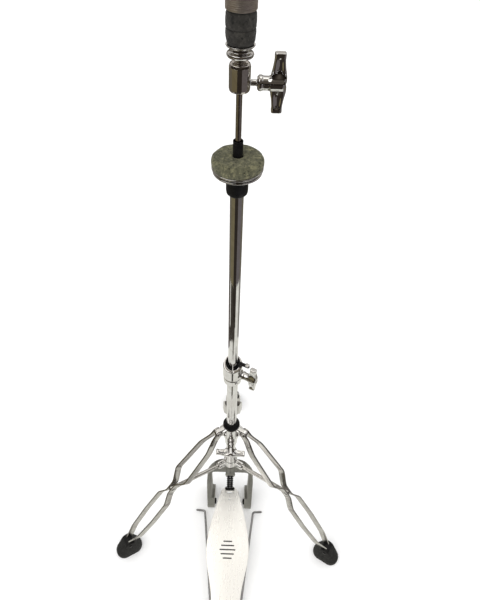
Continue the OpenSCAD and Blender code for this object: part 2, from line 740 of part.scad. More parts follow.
module toe_pin() color(black) board_frame() translate([0, toe_pin_y, toe_pin_h]) {
  pin_x(chain_pin_r, 2 * bracket_half + 0.6);
  for (s = [1, -1]) translate([s * (bracket_half + 0.6), 0, 0]) pin_x(2.1, 0.9);
}

// ---- heel plate and radius rods -------------------------------------------

heel_w = 86;
heel_front = 279;
heel_low = 3;
heel_t = 5;
lug_in = knuckle_half + side_gap;
lug_out = 37.5;
radius_rod_r = 2.5;
rod_pivot_x = 25;
rod_pivot_y = 300;
rod_pivot_r = 2.5;
rod_tip_x = 58.5;
rod_tip_y = 46;
hook_l = 22;
rod_eye_r = 5.5;
bend_r = 5;
hook_turn = 78;

module heel_plate() color("gainsboro") at_column() difference() {
  union() {
    difference() {
      union() {
        translate([-heel_w / 2, -heel_end + 14, heel_low]) cube([heel_w, heel_end - 14 - heel_front, heel_t]);
        translate([-heel_w / 2 + 14, -heel_end, heel_low]) cube([heel_w - 28, 30, heel_t]);
        for (s = [1, -1]) translate([s * (heel_w / 2 - 14), -heel_end + 14, heel_low])
          cylinder(r = 14, h = heel_t);
      }
      // window under the hinge
      translate([-lug_in, -heel_y - 3, -1]) cube([2 * lug_in, 30, 20]);
    }
    for (s = [1, -1]) translate([s * (lug_in + lug_out) / 2, 0, 0]) plate_yz(lug_out - lug_in) {
      translate([-heel_y, heel_h]) circle(r = 7.5);
      polygon([[-heel_y - 22, heel_low], [-heel_y + 10, heel_low], [-heel_y + 7.5, heel_h],
        [-heel_y - 7.5, heel_h]]);
    }
  }
  translate([0, -heel_y, heel_h]) pin_x(hinge_r + 0.02, 100);
  for (s = [1, -1]) translate([s * rod_pivot_x, -rod_pivot_y, -1])
    cylinder(r = rod_pivot_r + 0.02, h = 20);
}

module heel_pad() color(black) at_column() {
  translate([-heel_w / 2 + 4, -heel_end + 16, 0]) cube([heel_w - 8, heel_end - heel_y - 24, heel_low]);
}

module hinge_pin() color(steel) at_column(heel_h) translate([0, -heel_y, 0]) {
  pin_x(hinge_r, 2 * lug_out);
  for (s = [1, -1]) translate([s * (lug_out + 1), 0, 0]) pin_x(4.5, 2);
}

module rod_pivots() color(steel) at_column(heel_low + 0.5) for (s = [1, -1])
  translate([s * rod_pivot_x, -rod_pivot_y, 0]) {
    cylinder(r = rod_pivot_r, h = hook_h + 3.4 - heel_low);
    translate([0, 0, hook_h + 3 - heel_low]) turned(4.5, 0, 2, 0.6);
  }

module radius_rod(s) {
  rod_l = norm([rod_tip_x - rod_pivot_x, rod_pivot_y - rod_tip_y]);
  splay = atan2(rod_tip_x - rod_pivot_x, rod_pivot_y - rod_tip_y);
  color(steel) at_column(hook_h) mirror([s < 0 ? 1 : 0, 0, 0]) {
    translate([rod_pivot_x, -rod_pivot_y, 0]) difference() {
      union() {
        rotate([0, 0, -splay]) rotate([-90, 0, 0]) cylinder(r = radius_rod_r, h = rod_l - bend_r);
        translate([0, 0, -radius_rod_r]) cylinder(r = rod_eye_r, h = 2 * radius_rod_r);
      }
      translate([0, 0, -20]) cylinder(r = rod_pivot_r + run_gap, h = 40);
    }
    // bend and hook
    translate([rod_pivot_x, -rod_pivot_y, 0]) rotate([0, 0, -splay])
      translate([bend_r, rod_l - bend_r, 0]) rotate([0, 0, 180 - hook_turn]) {
        rotate_extrude(angle = hook_turn) translate([bend_r, 0]) circle(r = radius_rod_r);
        translate([bend_r, 0, 0]) rotate([90, 0, 0]) cylinder(r = radius_rod_r, h = hook_l - bend_r);
      }
  }
}

// ---- clutch ---------------------------------------------------------------

clutch_r = 10.3;
clutch_body_h = 27;
clutch_wing_h = clutch_h + 8.5;
clutch_bore_r = rod_r + 0.15;
clutch_screw_r = 2.9;
thread_r = 5.6;
neck_h = clutch_h + clutch_body_h;
lock_nut_low = neck_h + 3.4;
lock_nut_h = 8.4;
washer_low = lock_nut_low + lock_nut_h + 0.4;
washer_h = 3.4;
felts_low = washer_low + washer_h + 0.1;
felt_h = 13.4;
nut_low = felts_low + 2 * felt_h + 0.4;
nut_h = 17;
nut_r = 14;

module clutch_body() color(steel) at_column(clutch_h) difference() {
  rotate_extrude() polygon([[clutch_bore_r, 0], [clutch_r - 3, 0], [clutch_r - 1, 0.9],
    [clutch_r, 3], [clutch_r, clutch_body_h - 4], [clutch_r - 0.9, clutch_body_h - 1.6],
    [clutch_r - 3, clutch_body_h], [clutch_bore_r, clutch_body_h]]);
  translate([0, 0, clutch_wing_h - clutch_h]) rotate([0, 90, 0])
    cylinder(r = clutch_screw_r + run_gap, h = 30);
}

module clutch_sleeve() color(steel) at_column(neck_h)
  turned(thread_r, clutch_bore_r, nut_low + nut_h - neck_h + 2, 0.6);

module clutch_wing_bolt() at_column(clutch_wing_h) translate([16.5, 0, 0])
  wing_bolt(clutch_screw_r, 16.5 - rod_r - 0.12, 0);

module clutch_lock_nut() color(steel) at_column(lock_nut_low) rotate_extrude()
  polygon([[thread_r + run_gap, 0], [8.2, 0], [12, 1.6], [12.8, 3.4], [12.2, 5.2], [8.6, 6.6],
    [8.6, lock_nut_h], [thread_r + run_gap, lock_nut_h]]);

module clutch_washer() color(steel) at_column(washer_low) rotate_extrude()
  polygon([[thread_r + 0.05, 0], [10, 0], [13.2, 2], [13.6, washer_h], [thread_r + 0.05, washer_h]]);

module clutch_felts() color("dimgray") at_column(felts_low) for (i = [0, 1])
  translate([0, 0, i * (felt_h + 0.1)]) turned(clutch_felt_d / 2, thread_r + 0.15, felt_h, 1.2);

module clutch_nut() color(steel) at_column(nut_low) rotate_extrude()
  polygon(concat([[thread_r + run_gap, 0]], [[nut_r - 1, 0], [nut_r, 1]],
    [for (i = [0 : 5]) each [[nut_r, 2 + i * 1.6], [nut_r - 0.4, 2.8 + i * 1.6]]],
    [[nut_r, nut_h - 4], [nut_r - 1.5, nut_h - 1], [nut_r - 5, nut_h], [thread_r + run_gap, nut_h]]));

// ---- assembly -------------------------------------------------------------

base_frame();
hook_bushes();
lower_tube();
spring_seat();
brace_hub();
hub_pins();
height_clamp();
height_bush();
clamp_strap();
clamp_fasteners();
heel_plate();
heel_pad();
hinge_pin();
rod_pivots();
leg_collar();
collar_bush();
leg_bolts();
collar_wing_bolt();
leg_bar(left_az, 1);  // left_leg_front_bar
leg_bar(left_az, -1);  // left_leg_rear_bar
leg_rivets(left_az);  // left_leg_rivets
leg_foot(left_az);  // left_leg_foot
leg_bar(right_az, -1);  // right_leg_front_bar
leg_bar(right_az, 1);  // right_leg_rear_bar
leg_rivets(right_az);  // right_leg_rivets
leg_foot(right_az);  // right_leg_foot
leg_bar(back_az, -1);  // back_leg_right_bar
leg_bar(back_az, 1);  // back_leg_left_bar
leg_rivets(back_az);  // back_leg_rivets
leg_foot(back_az);  // back_leg_foot
brace(left_az);  // left_brace
brace(right_az);  // right_brace
brace(back_az);  // back_brace
upper_tube();
seat_base();
seat_disc();
tilt_screw();
seat_cup();
seat_felt();
seat_sleeve();
height_wing_bolt();
pull_rod();
spring_collar();
return_spring();
clevis();
clevis_pin();
chain_links();
chain_rollers();
footboard();
toe_bracket();
toe_pin();
radius_rod(-1);  // left_radius_rod
radius_rod(1);  // right_radius_rod
clutch_body();
clutch_sleeve();
clutch_wing_bolt();
clutch_lock_nut();
clutch_washer();
clutch_felts();
clutch_nut();
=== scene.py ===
"""Looks of the hi-hat stand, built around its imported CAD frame.

Shapes are worked out in millimetres around the column's axis and turned into metres by piece().
"""
import json
import math

import bmesh
import bpy
from mathutils import Matrix, Vector, noise
from mathutils.geometry import tessellate_polygon


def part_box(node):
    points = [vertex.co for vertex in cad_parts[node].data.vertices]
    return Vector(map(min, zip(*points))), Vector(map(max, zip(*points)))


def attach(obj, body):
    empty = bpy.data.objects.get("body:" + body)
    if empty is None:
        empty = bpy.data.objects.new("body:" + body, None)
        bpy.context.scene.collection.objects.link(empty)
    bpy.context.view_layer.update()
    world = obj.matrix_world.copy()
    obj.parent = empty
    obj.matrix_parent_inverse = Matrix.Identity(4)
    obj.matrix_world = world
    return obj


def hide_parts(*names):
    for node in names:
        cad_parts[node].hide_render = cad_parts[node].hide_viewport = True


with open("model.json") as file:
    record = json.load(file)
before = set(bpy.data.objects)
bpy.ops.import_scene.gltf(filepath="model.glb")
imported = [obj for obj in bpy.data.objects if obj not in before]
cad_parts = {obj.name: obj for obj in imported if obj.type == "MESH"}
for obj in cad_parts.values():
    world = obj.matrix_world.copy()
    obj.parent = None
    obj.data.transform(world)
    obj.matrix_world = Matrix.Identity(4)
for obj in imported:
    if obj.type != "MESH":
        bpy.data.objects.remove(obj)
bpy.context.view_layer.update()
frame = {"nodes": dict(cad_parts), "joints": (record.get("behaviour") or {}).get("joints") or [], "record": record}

MM = 0.001
joints = {j["name"]: j for j in frame["joints"]}
body_of_node = {n: b for b, ns in frame["record"]["behaviour"]["bodies"].items() for n in ns}
tube_low, tube_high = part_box("lower_tube")
COLUMN_Y = (tube_low.y + tube_high.y) / 2 / MM


# ---- shapes: closed solids as vertices (mm) and faces ----------------------


class Shape:
    def __init__(self, verts=(), faces=()):
        self.verts = [Vector(v) for v in verts]
        self.faces = [tuple(f) for f in faces]

    def add(self, *others):
        for other in others:
            first = len(self.verts)
            self.verts += [v.copy() for v in other.verts]
            self.faces += [tuple(i + first for i in f) for f in other.faces]
        return self

    def moved(self, *matrices):
        move = Matrix.Identity(4)
        for m in matrices:
            move = move @ m
        return Shape([move @ v for v in self.verts], self.faces)


def joined(shapes):
    return Shape().add(*shapes)


def shift(x=0, y=0, z=0):
    return Matrix.Translation((x, y, z))


def turn(degrees, axis):
    return Matrix.Rotation(math.radians(degrees), 4, axis)


def size_mm(node):
    """Lowest and highest corners of a CAD node in mm, around the column's axis."""
    low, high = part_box(node)
    shift_y = Vector((0, COLUMN_Y, 0))
    return low / MM - shift_y, high / MM - shift_y


def heights(node):
    low, high = size_mm(node)
    return low.z, high.z


def radius(node):
    low, high = size_mm(node)
    return (high.x - low.x) / 2


def rounded(corners, steps=4):
    """Closed outline from (x, y) or (x, y, r) corners; r turns the corner into an arc."""
    out = []
    for i, corner in enumerate(corners):
        here = Vector(corner[:2])
        r = corner[2] if len(corner) > 2 else 0
        before = Vector(corners[i - 1][:2]) - here
        after = Vector(corners[(i + 1) % len(corners)][:2]) - here
        if r <= 0 or before.length < 1e-6 or after.length < 1e-6:
            out.append(here)
            continue
        half = before.angle(after) / 2
        reach = min(r / math.tan(half), 0.49 * before.length, 0.49 * after.length)
        r = reach * math.tan(half)
        before.normalize()
        after.normalize()
        centre = here + (before + after).normalized() * (r / math.sin(half))
        start = here + before * reach - centre
        sweep = math.pi - 2 * half
        if before.x * after.y - before.y * after.x > 0:
            sweep = -sweep
        for k in range(steps + 1):
            a = sweep * k / steps
            c, s = math.cos(a), math.sin(a)
            out.append(centre + Vector((c * start.x - s * start.y, s * start.x + c * start.y)))
    return out


def lathe(profile, turns=96):
    """Turns a closed outline of (radius, height) points about Z."""
    verts, rings = [], []
    for r, z in profile:
        if r < 1e-5:
            rings.append([len(verts)] * turns)
            verts.append((0, 0, z))
        else:
            rings.append(range(len(verts), len(verts) + turns))
            verts += [
                (r * math.cos(2 * math.pi * k / turns), r * math.sin(2 * math.pi * k / turns), z)
                for k in range(turns)
            ]
    faces = []
    for i, low in enumerate(rings):
        high = rings[(i + 1) % len(rings)]
        for k in range(turns):
            n = (k + 1) % turns
            corners = list(dict.fromkeys((low[k], low[n], high[n], high[k])))
            if len(corners) > 2:
                faces.append(corners)
    return Shape(verts, faces)


def turned(corners, turns=96, steps=4):
    """Lathe part from (radius, height[, corner radius]) corners."""
    return lathe(rounded(corners, steps), turns)


def tube(r, bore, low, high, edge=0.4, turns=96):
    inner = edge / 2
    return turned([(bore, low, inner), (r, low, edge), (r, high, edge), (bore, high, inner)], turns)


def rod(r, low, high, edge=0.4, turns=48):
    return turned([(0, low), (r, low, edge), (r, high, edge), (0, high)], turns)


def area_of(loop):
    return sum(a.x * b.y - b.x * a.y for a, b in zip(loop, loop[1:] + loop[:1])) / 2


def inset(loop, distance):
    """Moves each point of a counterclockwise loop inward by the distance."""
    out = []
    for i, here in enumerate(loop):
        a = (here - loop[i - 1]).normalized()
        b = (loop[(i + 1) % len(loop)] - here).normalized()
        inward = Vector((-a.y - b.y, a.x + b.x))
        if inward.length < 1e-6:
            inward = Vector((-a.y, a.x))
        inward.normalize()
        stretch = 1 / max(0.4, inward.dot(Vector((-a.y, a.x))))
        out.append(here + inward * distance * stretch)
    return out


def plate(outline, thickness, edge=0.5, holes=(), steps=3):
    """Flat plate in XY, centred on Z, whose rims and holes have rounded edges."""
    angles = [-90 + 90 * k / steps for k in range(steps + 1)]
    levels = [(1, a) for a in angles] + [(-1, -a) for a in reversed(angles)]
    half = thickness / 2
    shape = Shape()
    low_cap, high_cap = [], []
    for loop, inward in [(outline, 1)] + [(h, -1) for h in holes]:
        loop = [Vector(p[:2]) for p in loop]
        if area_of(loop) < 0:
            loop.reverse()
        first = len(shape.verts)
        for side, a in levels:
            a = math.radians(a)
            drawn = inset(loop, inward * edge * (1 - math.cos(a)))
            z = -side * (half - edge) + edge * math.sin(a)
            shape.verts += [Vector((p.x, p.y, z)) for p in drawn]
        n = len(loop)
        for ring in range(len(levels) - 1):
            for k in range(n):
                a, b = first + ring * n + k, first + ring * n + (k + 1) % n
                shape.faces.append((a, b, b + n, a + n) if inward > 0 else (b, a, a + n, b + n))
        low_cap.append(range(first, first + n))
        high_cap.append(range(first + (len(levels) - 1) * n, first + len(levels) * n))
    for caps in (low_cap, high_cap):
        flat = [i for cap in caps for i in cap]
        loops = [[Vector((shape.verts[i].x, shape.verts[i].y, 0)) for i in cap] for cap in caps]
        for face in tessellate_polygon(loops):
            shape.faces.append(tuple(flat[i] for i in face))
    return shape


def circle(r, x=0, y=0, count=32):
    return [
        Vector((x + r * math.cos(2 * math.pi * k / count), y + r * math.sin(2 * math.pi * k / count)))
        for k in range(count)
    ]


def box(x, y, z, edge=0.6):
    """Block centred on the origin with rounded edges."""
    r = 1.5 * edge
    corners = [(x / 2, y / 2, r), (-x / 2, y / 2, r), (-x / 2, -y / 2, r), (x / 2, -y / 2, r)]
    return plate(rounded(corners), z, edge)


def sweep(path, section):
    """Moves a closed 2D section along a path of points, without twist, and caps its ends."""
    path = [Vector(p) for p in path]
    side = None
    shape = Shape()
    n = len(section)
    for i, here in enumerate(path):
        ahead = (path[min(i + 1, len(path) - 1)] - path[max(i - 1, 0)]).normalized()
        if side is None:
            side = ahead.orthogonal().normalized()
        side = (side - ahead * side.dot(ahead)).normalized()
        up = ahead.cross(side)
        shape.verts += [here + side * p[0] + up * p[1] for p in section]
        if i:
            first = (i - 1) * n
            for k in range(n):
                a, b = first + k, first + (k + 1) % n
                shape.faces.append((a, b, b + n, a + n))
    last = (len(path) - 1) * n
    shape.faces += [tuple(range(n - 1, -1, -1)), tuple(range(last, last + n))]
    return shape


def wire(path, r, sides=20):
    """Round bar along a path, with rounded ends."""
    path = [Vector(p) for p in path]
    start = (path[0] - path[1]).normalized()
    end = (path[-1] - path[-2]).normalized()
    path = [path[0] + start * r * 0.6] + path + [path[-1] + end * r * 0.6]
    shape = sweep(path, circle(r, count=sides))
    ends = (range(sides), range(len(shape.verts) - sides, len(shape.verts)))
    for ring, centre in zip(ends, (path[0], path[-1])):
        for i in ring:
            shape.verts[i] = centre + (shape.verts[i] - centre) * 0.55
    return shape


def loft(sections):
    """Joins closed loops of 3D points, all with the same count, and caps the ends."""
    n = len(sections[0])
    shape = Shape([p for s in sections for p in s])
    for i in range(len(sections) - 1):
        for k in range(n):
            a, b = i * n + k, i * n + (k + 1) % n
            shape.faces.append((a, b, b + n, a + n))
    last = (len(sections) - 1) * n
    shape.faces += [tuple(range(n - 1, -1, -1)), tuple(range(last, last + n))]
    return shape


# ---- pieces ----------------------------------------------------------------



def mesh_from(shape, name):
    mesh = bpy.data.meshes.new(name)
    origin = Vector((0, COLUMN_Y, 0))
    mesh.from_pydata([(v + origin) * MM for v in shape.verts], [], shape.faces)
    mesh.validate()
    return mesh


def tidy_mesh(mesh, weld=1e-6):
    """Welds doubled points and turns all faces outward."""
    bm = bmesh.new()
    bm.from_mesh(mesh)
    bmesh.ops.remove_doubles(bm, verts=bm.verts, dist=weld)
    bmesh.ops.dissolve_degenerate(bm, edges=bm.edges, dist=weld)
    bmesh.ops.recalc_face_normals(bm, faces=bm.faces)
    bm.to_mesh(mesh)
    bm.free()


def settle(obj):
    """Applies the object's modifiers to its mesh."""
    graph = bpy.context.evaluated_depsgraph_get()
    mesh = bpy.data.meshes.new_from_object(obj.evaluated_get(graph))
    obj.modifiers.clear()
    obj.data = mesh


def piece(name, shape, mat, *nodes, body=None, slot=None, sharp=35):
    """Makes one visible object that stands for the CAD nodes and moves with their body."""
    mesh = shape if isinstance(shape, bpy.types.Mesh) else mesh_from(shape, name)
    mesh.name = name
    tidy_mesh(mesh)
    mesh.materials.clear()
    mesh.materials.append(mat)
    mesh.shade_smooth()
    mesh.set_sharp_from_angle(angle=math.radians(sharp))
    obj = bpy.data.objects.new(name, mesh)
    bpy.context.scene.collection.objects.link(obj)
    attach(obj, body or body_of_node[nodes[0]])
    if nodes:
        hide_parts(*nodes)
    if slot is None:
        slot = slot_of_node[nodes[0]]
    return obj


def cast_mesh(name, source, voxel=0.5, passes=6, strength=0.5):
    """Melts overlapping solids, or a CAD node's mesh, into one skin with soft edges."""
    if isinstance(source, str):
        mesh = frame["nodes"][source].data.copy()
    elif isinstance(source, Shape):
        mesh = mesh_from(source, name)
    else:
        mesh = source
    tidy_mesh(mesh, 5e-6)
    obj = bpy.data.objects.new(name, mesh)
    bpy.context.scene.collection.objects.link(obj)
    remesh = obj.modifiers.new("skin", "REMESH")
    remesh.mode = "VOXEL"
    remesh.voxel_size = voxel * MM
    smooth = obj.modifiers.new("soften", "SMOOTH")
    smooth.factor = strength
    smooth.iterations = passes
    settle(obj)
    mesh = obj.data
    bpy.data.objects.remove(obj)
    return mesh


def roughened(mesh, amount, scale, seed=0):
    """Moves points along their normals by a smooth noise, amount in mm, scale in waves per mm."""
    offset = Vector((seed * 17.3, seed * 5.1, seed * 9.7))
    moved = []
    for v in mesh.vertices:
        at = v.co / MM * scale + offset
        lift = noise.fractal(at, 0.9, 2.1, 3)
        moved.append(v.co + v.normal * lift * amount * MM)
    for v, co in zip(mesh.vertices, moved):
        v.co = co
    mesh.update()
    return mesh


slot_of_node = {s["node"]: s["material_slot"] for s in frame["record"]["subparts"]}


# ---- materials -------------------------------------------------------------


class Finish:
    """A Principled material with small helpers for its texture nodes."""

    def __init__(self, name, color, metallic=0.0, roughness=0.5, **sockets):
        self.mat = bpy.data.materials.new(name)
        self.mat.use_nodes = True
        self.nodes = self.mat.node_tree.nodes
        self.links = self.mat.node_tree.links
        self.shader = self.nodes["Principled BSDF"]
        self.shader.inputs["Base Color"].default_value = (*color, 1)
        self.shader.inputs["Metallic"].default_value = metallic
        self.shader.inputs["Roughness"].default_value = roughness
        for socket, value in sockets.items():
            self.shader.inputs[socket.replace("_", " ")].default_value = value
        self.coords = self.nodes.new("ShaderNodeTexCoord").outputs["Object"]

    def place(self, stretch=(1, 1, 1), about=(0, 0, 0)):
        node = self.nodes.new("ShaderNodeMapping")
        node.inputs["Scale"].default_value = stretch
        node.inputs["Location"].default_value = about
        self.links.new(self.coords, node.inputs["Vector"])
        return node.outputs["Vector"]

    def noise(self, scale, detail=3.0, rough=0.55, stretch=(1, 1, 1), warp=0.0, about=(0, 0, 0)):
        node = self.nodes.new("ShaderNodeTexNoise")
        node.inputs["Scale"].default_value = scale
        node.inputs["Detail"].default_value = detail
        node.inputs["Roughness"].default_value = rough
        node.inputs["Distortion"].default_value = warp
        self.links.new(self.place(stretch, about), node.inputs["Vector"])
        return node.outputs["Fac"]

    def cells(self, scale, stretch=(1, 1, 1), feature="F1"):
        node = self.nodes.new("ShaderNodeTexVoronoi")
        node.feature = feature
        node.inputs["Scale"].default_value = scale
        self.links.new(self.place(stretch), node.inputs["Vector"])
        return node.outputs["Distance"]

    def ramp(self, fac, *stops):
        node = self.nodes.new("ShaderNodeValToRGB")
        band = node.color_ramp
        while len(band.elements) < len(stops):
            band.elements.new(0.5)
        for element, (at, color) in zip(band.elements, stops):
            element.position = at
            element.color = (color, color, color, 1) if isinstance(color, float) else (*color, 1)
        self.links.new(fac, node.inputs["Fac"])
        return node.outputs["Color"]

    def blend(self, fac, a, b, kind="MIX"):
        node = self.nodes.new("ShaderNodeMix")
        node.data_type = "RGBA"
        node.blend_type = kind
        for name, value in (("Factor", fac), ("A", a), ("B", b)):
            socket = [s for s in node.inputs if s.name == name and s.type in ("VALUE", "RGBA")]
            socket = socket[0] if name == "Factor" else socket[-1]
            if isinstance(value, float):
                socket.default_value = value
            elif isinstance(value, tuple):
                socket.default_value = (*value, 1)
            else:
                self.links.new(value, socket)
        return [s for s in node.outputs if s.type == "RGBA"][0]

    def color(self, socket):
        self.links.new(socket, self.shader.inputs["Base Color"])
        return self

    def rough(self, fac, low, high):
        gloss = self.ramp(fac, (0.3, float(low)), (0.7, float(high)))
        self.links.new(gloss, self.shader.inputs["Roughness"])
        return self

    def bump(self, height, depth, strength=1.0):
        """depth in mm"""
        node = self.nodes.new("ShaderNodeBump")
        node.inputs["Strength"].default_value = strength
        node.inputs["Distance"].default_value = depth * MM
        self.links.new(height, node.inputs["Height"])
        last = self.shader.inputs["Normal"]
        if last.is_linked:
            self.links.new(last.links[0].from_socket, node.inputs["Normal"])
        self.links.new(node.outputs["Normal"], last)
        return self


def polished(name, color, dull, low, high):
    """Plated metal: faint smears in its colour and gloss, and hairline wiping marks."""
    f = Finish(name, color, 1.0, low)
    smear = f.noise(38, 4, 0.6, warp=1.5)
    f.color(f.ramp(smear, (0.35, dull), (0.62, color)))
    f.rough(f.noise(95, 5, 0.65, warp=0.8), low, high)
    f.bump(f.noise(900, 2, 0.5, stretch=(1, 1, 0.12)), 0.004, 0.5)
    return f.mat


def build_materials():
    m = {}
    m["chrome"] = polished("chrome", (0.83, 0.83, 0.83), (0.74, 0.73, 0.72), 0.03, 0.09)
    # Chrome for the clutch body and sleeve, darker and browner than chrome: the dim brown reflection it shows is
    # painted into its colour.
    m["chrome_painted_dim_reflection"] = polished("chrome_painted_dim_reflection", (0.72, 0.69, 0.66), (0.60, 0.56, 0.52), 0.05, 0.13)
    # Chrome for the pull rod, darker and browner than chrome: the brown reflection it shows is painted into its
    # colour.
    m["rod_steel_painted_reflection"] = polished("rod_steel_painted_reflection", (0.56, 0.52, 0.49), (0.45, 0.41, 0.38), 0.10, 0.20)
    f = Finish("plated_bar", (0.74, 0.73, 0.71), 1.0, 0.2)
    f.color(f.ramp(f.noise(60, 5, 0.6), (0.3, (0.42, 0.405, 0.39)), (0.65, (0.62, 0.61, 0.59))))
    f.rough(f.noise(140, 4, 0.6), 0.12, 0.26)
    f.bump(f.noise(420, 3, 0.5), 0.03, 0.35)
    m["plated_bar"] = f.mat
    f = Finish("cast_frame", (0.40, 0.40, 0.38), 1.0, 0.5)
    grain = f.noise(1500, 3, 0.7)
    f.color(f.blend(f.noise(45, 5, 0.65), (0.20, 0.20, 0.185), (0.35, 0.345, 0.32)))
    f.rough(f.noise(240, 4, 0.6), 0.38, 0.58)
    f.bump(grain, 0.10, 0.6)
    f.bump(f.noise(160, 3, 0.5), 0.25, 0.35)
    m["cast_frame"] = f.mat
    f = Finish("pedal_plate", (0.93, 0.92, 0.88), 0.55, 0.3)
    streak = f.noise(260, 6, 0.7, stretch=(1, 0.018, 1))
    broad = f.noise(22, 3, 0.5, stretch=(1, 0.06, 1))
    f.color(f.blend(broad, (0.88, 0.86, 0.82), (0.95, 0.94, 0.905)))
    f.rough(streak, 0.25, 0.33)
    f.bump(streak, 0.004, 0.22)
    m["pedal_plate"] = f.mat
    f = Finish("black_plastic", (0.006, 0.006, 0.006), 0.0, 0.3, Specular_IOR_Level=0.18)
    f.color(f.ramp(f.noise(80, 4, 0.6), (0.3, (0.003, 0.003, 0.003)), (0.7, (0.009, 0.009, 0.010))))
    f.rough(f.noise(300, 3, 0.6), 0.22, 0.42)
    f.bump(f.noise(2200, 2, 0.6), 0.02, 0.4)
    m["black_plastic"] = f.mat
    f = Finish("rubber", (0.01, 0.01, 0.01), 0.0, 0.6, Specular_IOR_Level=0.18)
    f.color(f.ramp(f.noise(120, 5, 0.65), (0.3, (0.004, 0.004, 0.004)), (0.7, (0.013, 0.0125, 0.012))))
    f.rough(f.noise(260, 4, 0.6), 0.42, 0.70)
    f.bump(f.noise(1900, 3, 0.7), 0.05, 0.55)
    m["rubber"] = f.mat
    olive = ((0.018, 0.018, 0.012), (0.10, 0.098, 0.062), (0.30, 0.28, 0.155))
    m["seat_felt"] = felt("seat_felt", *olive, 150)
    sooty = ((0.010, 0.010, 0.009), (0.030, 0.028, 0.025), (0.062, 0.057, 0.050))
    m["clutch_felt"] = felt("clutch_felt", *sooty, 110)
    # Painted reflection: the knurled nut's brown tone stands in for the brown room its chrome reflects.
    f = Finish("nut_steel", (0.50, 0.44, 0.40), 1.0, 0.28)
    f.color(f.ramp(f.noise(70, 4, 0.6), (0.3, (0.55, 0.49, 0.45)), (0.7, (0.74, 0.67, 0.62))))
    f.rough(f.noise(500, 3, 0.6, stretch=(1, 1, 4)), 0.34, 0.48)
    m["nut_steel"] = f.mat
    f = Finish("clevis_steel", (0.34, 0.33, 0.27), 1.0, 0.4)
    f.color(f.ramp(f.noise(110, 5, 0.6), (0.3, (0.26, 0.25, 0.20)), (0.7, (0.44, 0.43, 0.36))))
    f.rough(f.noise(200, 4, 0.6), 0.30, 0.48)
    f.bump(f.noise(900, 3, 0.6), 0.04, 0.5)
    m["clevis_steel"] = f.mat
    f = Finish("spring_steel", (0.36, 0.36, 0.36), 1.0, 0.35)
    f.color(f.ramp(f.noise(300, 3, 0.6), (0.3, (0.26, 0.26, 0.26)), (0.7, (0.42, 0.42, 0.42))))
    f.rough(f.noise(600, 3, 0.6), 0.28, 0.42)
    m["spring_steel"] = f.mat
    f = Finish("black_steel", (0.02, 0.02, 0.021), 0.2, 0.35, Specular_IOR_Level=0.25)
    f.color(f.ramp(f.noise(400, 4, 0.6), (0.35, (0.005, 0.005, 0.005)), (0.75, (0.022, 0.021, 0.020))))
    f.rough(f.noise(350, 3, 0.6), 0.25, 0.45)
    f.bump(f.noise(1400, 2, 0.6), 0.02, 0.4)
    m["black_steel"] = f.mat
    f = Finish("steel_rod", (0.34, 0.34, 0.35), 1.0, 0.3)
    f.color(f.ramp(f.noise(160, 4, 0.6), (0.3, (0.26, 0.26, 0.27)), (0.7, (0.42, 0.42, 0.43))))
    f.rough(f.noise(300, 4, 0.6), 0.24, 0.42)
    m["steel_rod"] = f.mat
    f = Finish("mark_paint", (0.015, 0.015, 0.015), 0.0, 0.45)
    f.color(f.ramp(f.noise(500, 3, 0.6), (0.3, (0.010, 0.010, 0.010)), (0.8, (0.032, 0.031, 0.030))))
    m["mark_paint"] = f.mat
    return m


def felt(name, dark, mid, light, scale):
    """Pressed wool: clumps of two shades, flecks, matted fibres and a soft sheen."""
    f = Finish(name, mid, 0.0, 0.95, Sheen_Weight=0.08, Sheen_Roughness=0.5, Specular_IOR_Level=0.08)
    clumps = f.noise(scale, 5, 0.75, warp=0.8)
    fine = f.noise(scale * 5, 4, 0.7)
    base = f.ramp(clumps, (0.34, dark), (0.50, mid), (0.68, light))
    base = f.blend(f.ramp(fine, (0.35, 0.15), (0.65, 0.75)), base, mid)
    fleck = f.ramp(f.cells(scale * 2.6), (0.05, 0.85), (0.20, 0.0))
    base = f.blend(fleck, base, light)
    soot = f.ramp(f.noise(scale * 2.2, 3, 0.6, about=(3, 1, 2)), (0.56, 0.0), (0.68, 0.9))
    f.color(f.blend(soot, base, dark))
    fibres = f.noise(scale * 9, 4, 0.8, stretch=(1, 1, 0.35), warp=2.0)
    f.bump(fibres, 0.35, 0.8)
    f.bump(clumps, 0.7, 0.6)
    return f.mat


M = build_materials()


# ---- camera, floor, light --------------------------------------------------

CAMERA_AT = (7, -456, 1220)      # mm, around the column's axis
CAMERA_DOWN = 47.5               # degrees below the horizon
CAMERA_ROLL = 2.02
CAMERA_TURN = -0.075


def make_camera():
    data = bpy.data.cameras.new("camera")
    data.sensor_width = 36
    data.lens = 28.8
    data.clip_start = 0.01
    data.clip_end = 60
    camera = bpy.data.objects.new("camera", data)
    x, y, z = CAMERA_AT
    aim = turn(90 - CAMERA_DOWN, "X") @ turn(CAMERA_ROLL, "Z") @ turn(CAMERA_TURN, "Y")
    camera.matrix_world = Matrix.Translation((x * MM, (y + COLUMN_Y) * MM, z * MM)) @ aim
    bpy.context.scene.collection.objects.link(camera)
    bpy.context.scene.camera = camera


def make_floor():
    f = Finish("floor_paper", (0.96, 0.96, 0.96), 0.0, 0.75, Specular_IOR_Level=0.2)
    f.color(f.ramp(f.noise(3, 2, 0.5), (0.2, (0.955, 0.955, 0.955)), (0.8, (0.97, 0.97, 0.97))))
    mesh = bpy.data.meshes.new("floor")
    half = 9.0
    square = [(-half, -half, 0), (half, -half, 0), (half, half, 0), (-half, half, 0)]
    mesh.from_pydata(square, [], [(0, 1, 2, 3)])
    mesh.materials.append(f.mat)
    floor = bpy.data.objects.new("floor", mesh)
    bpy.context.scene.collection.objects.link(floor)


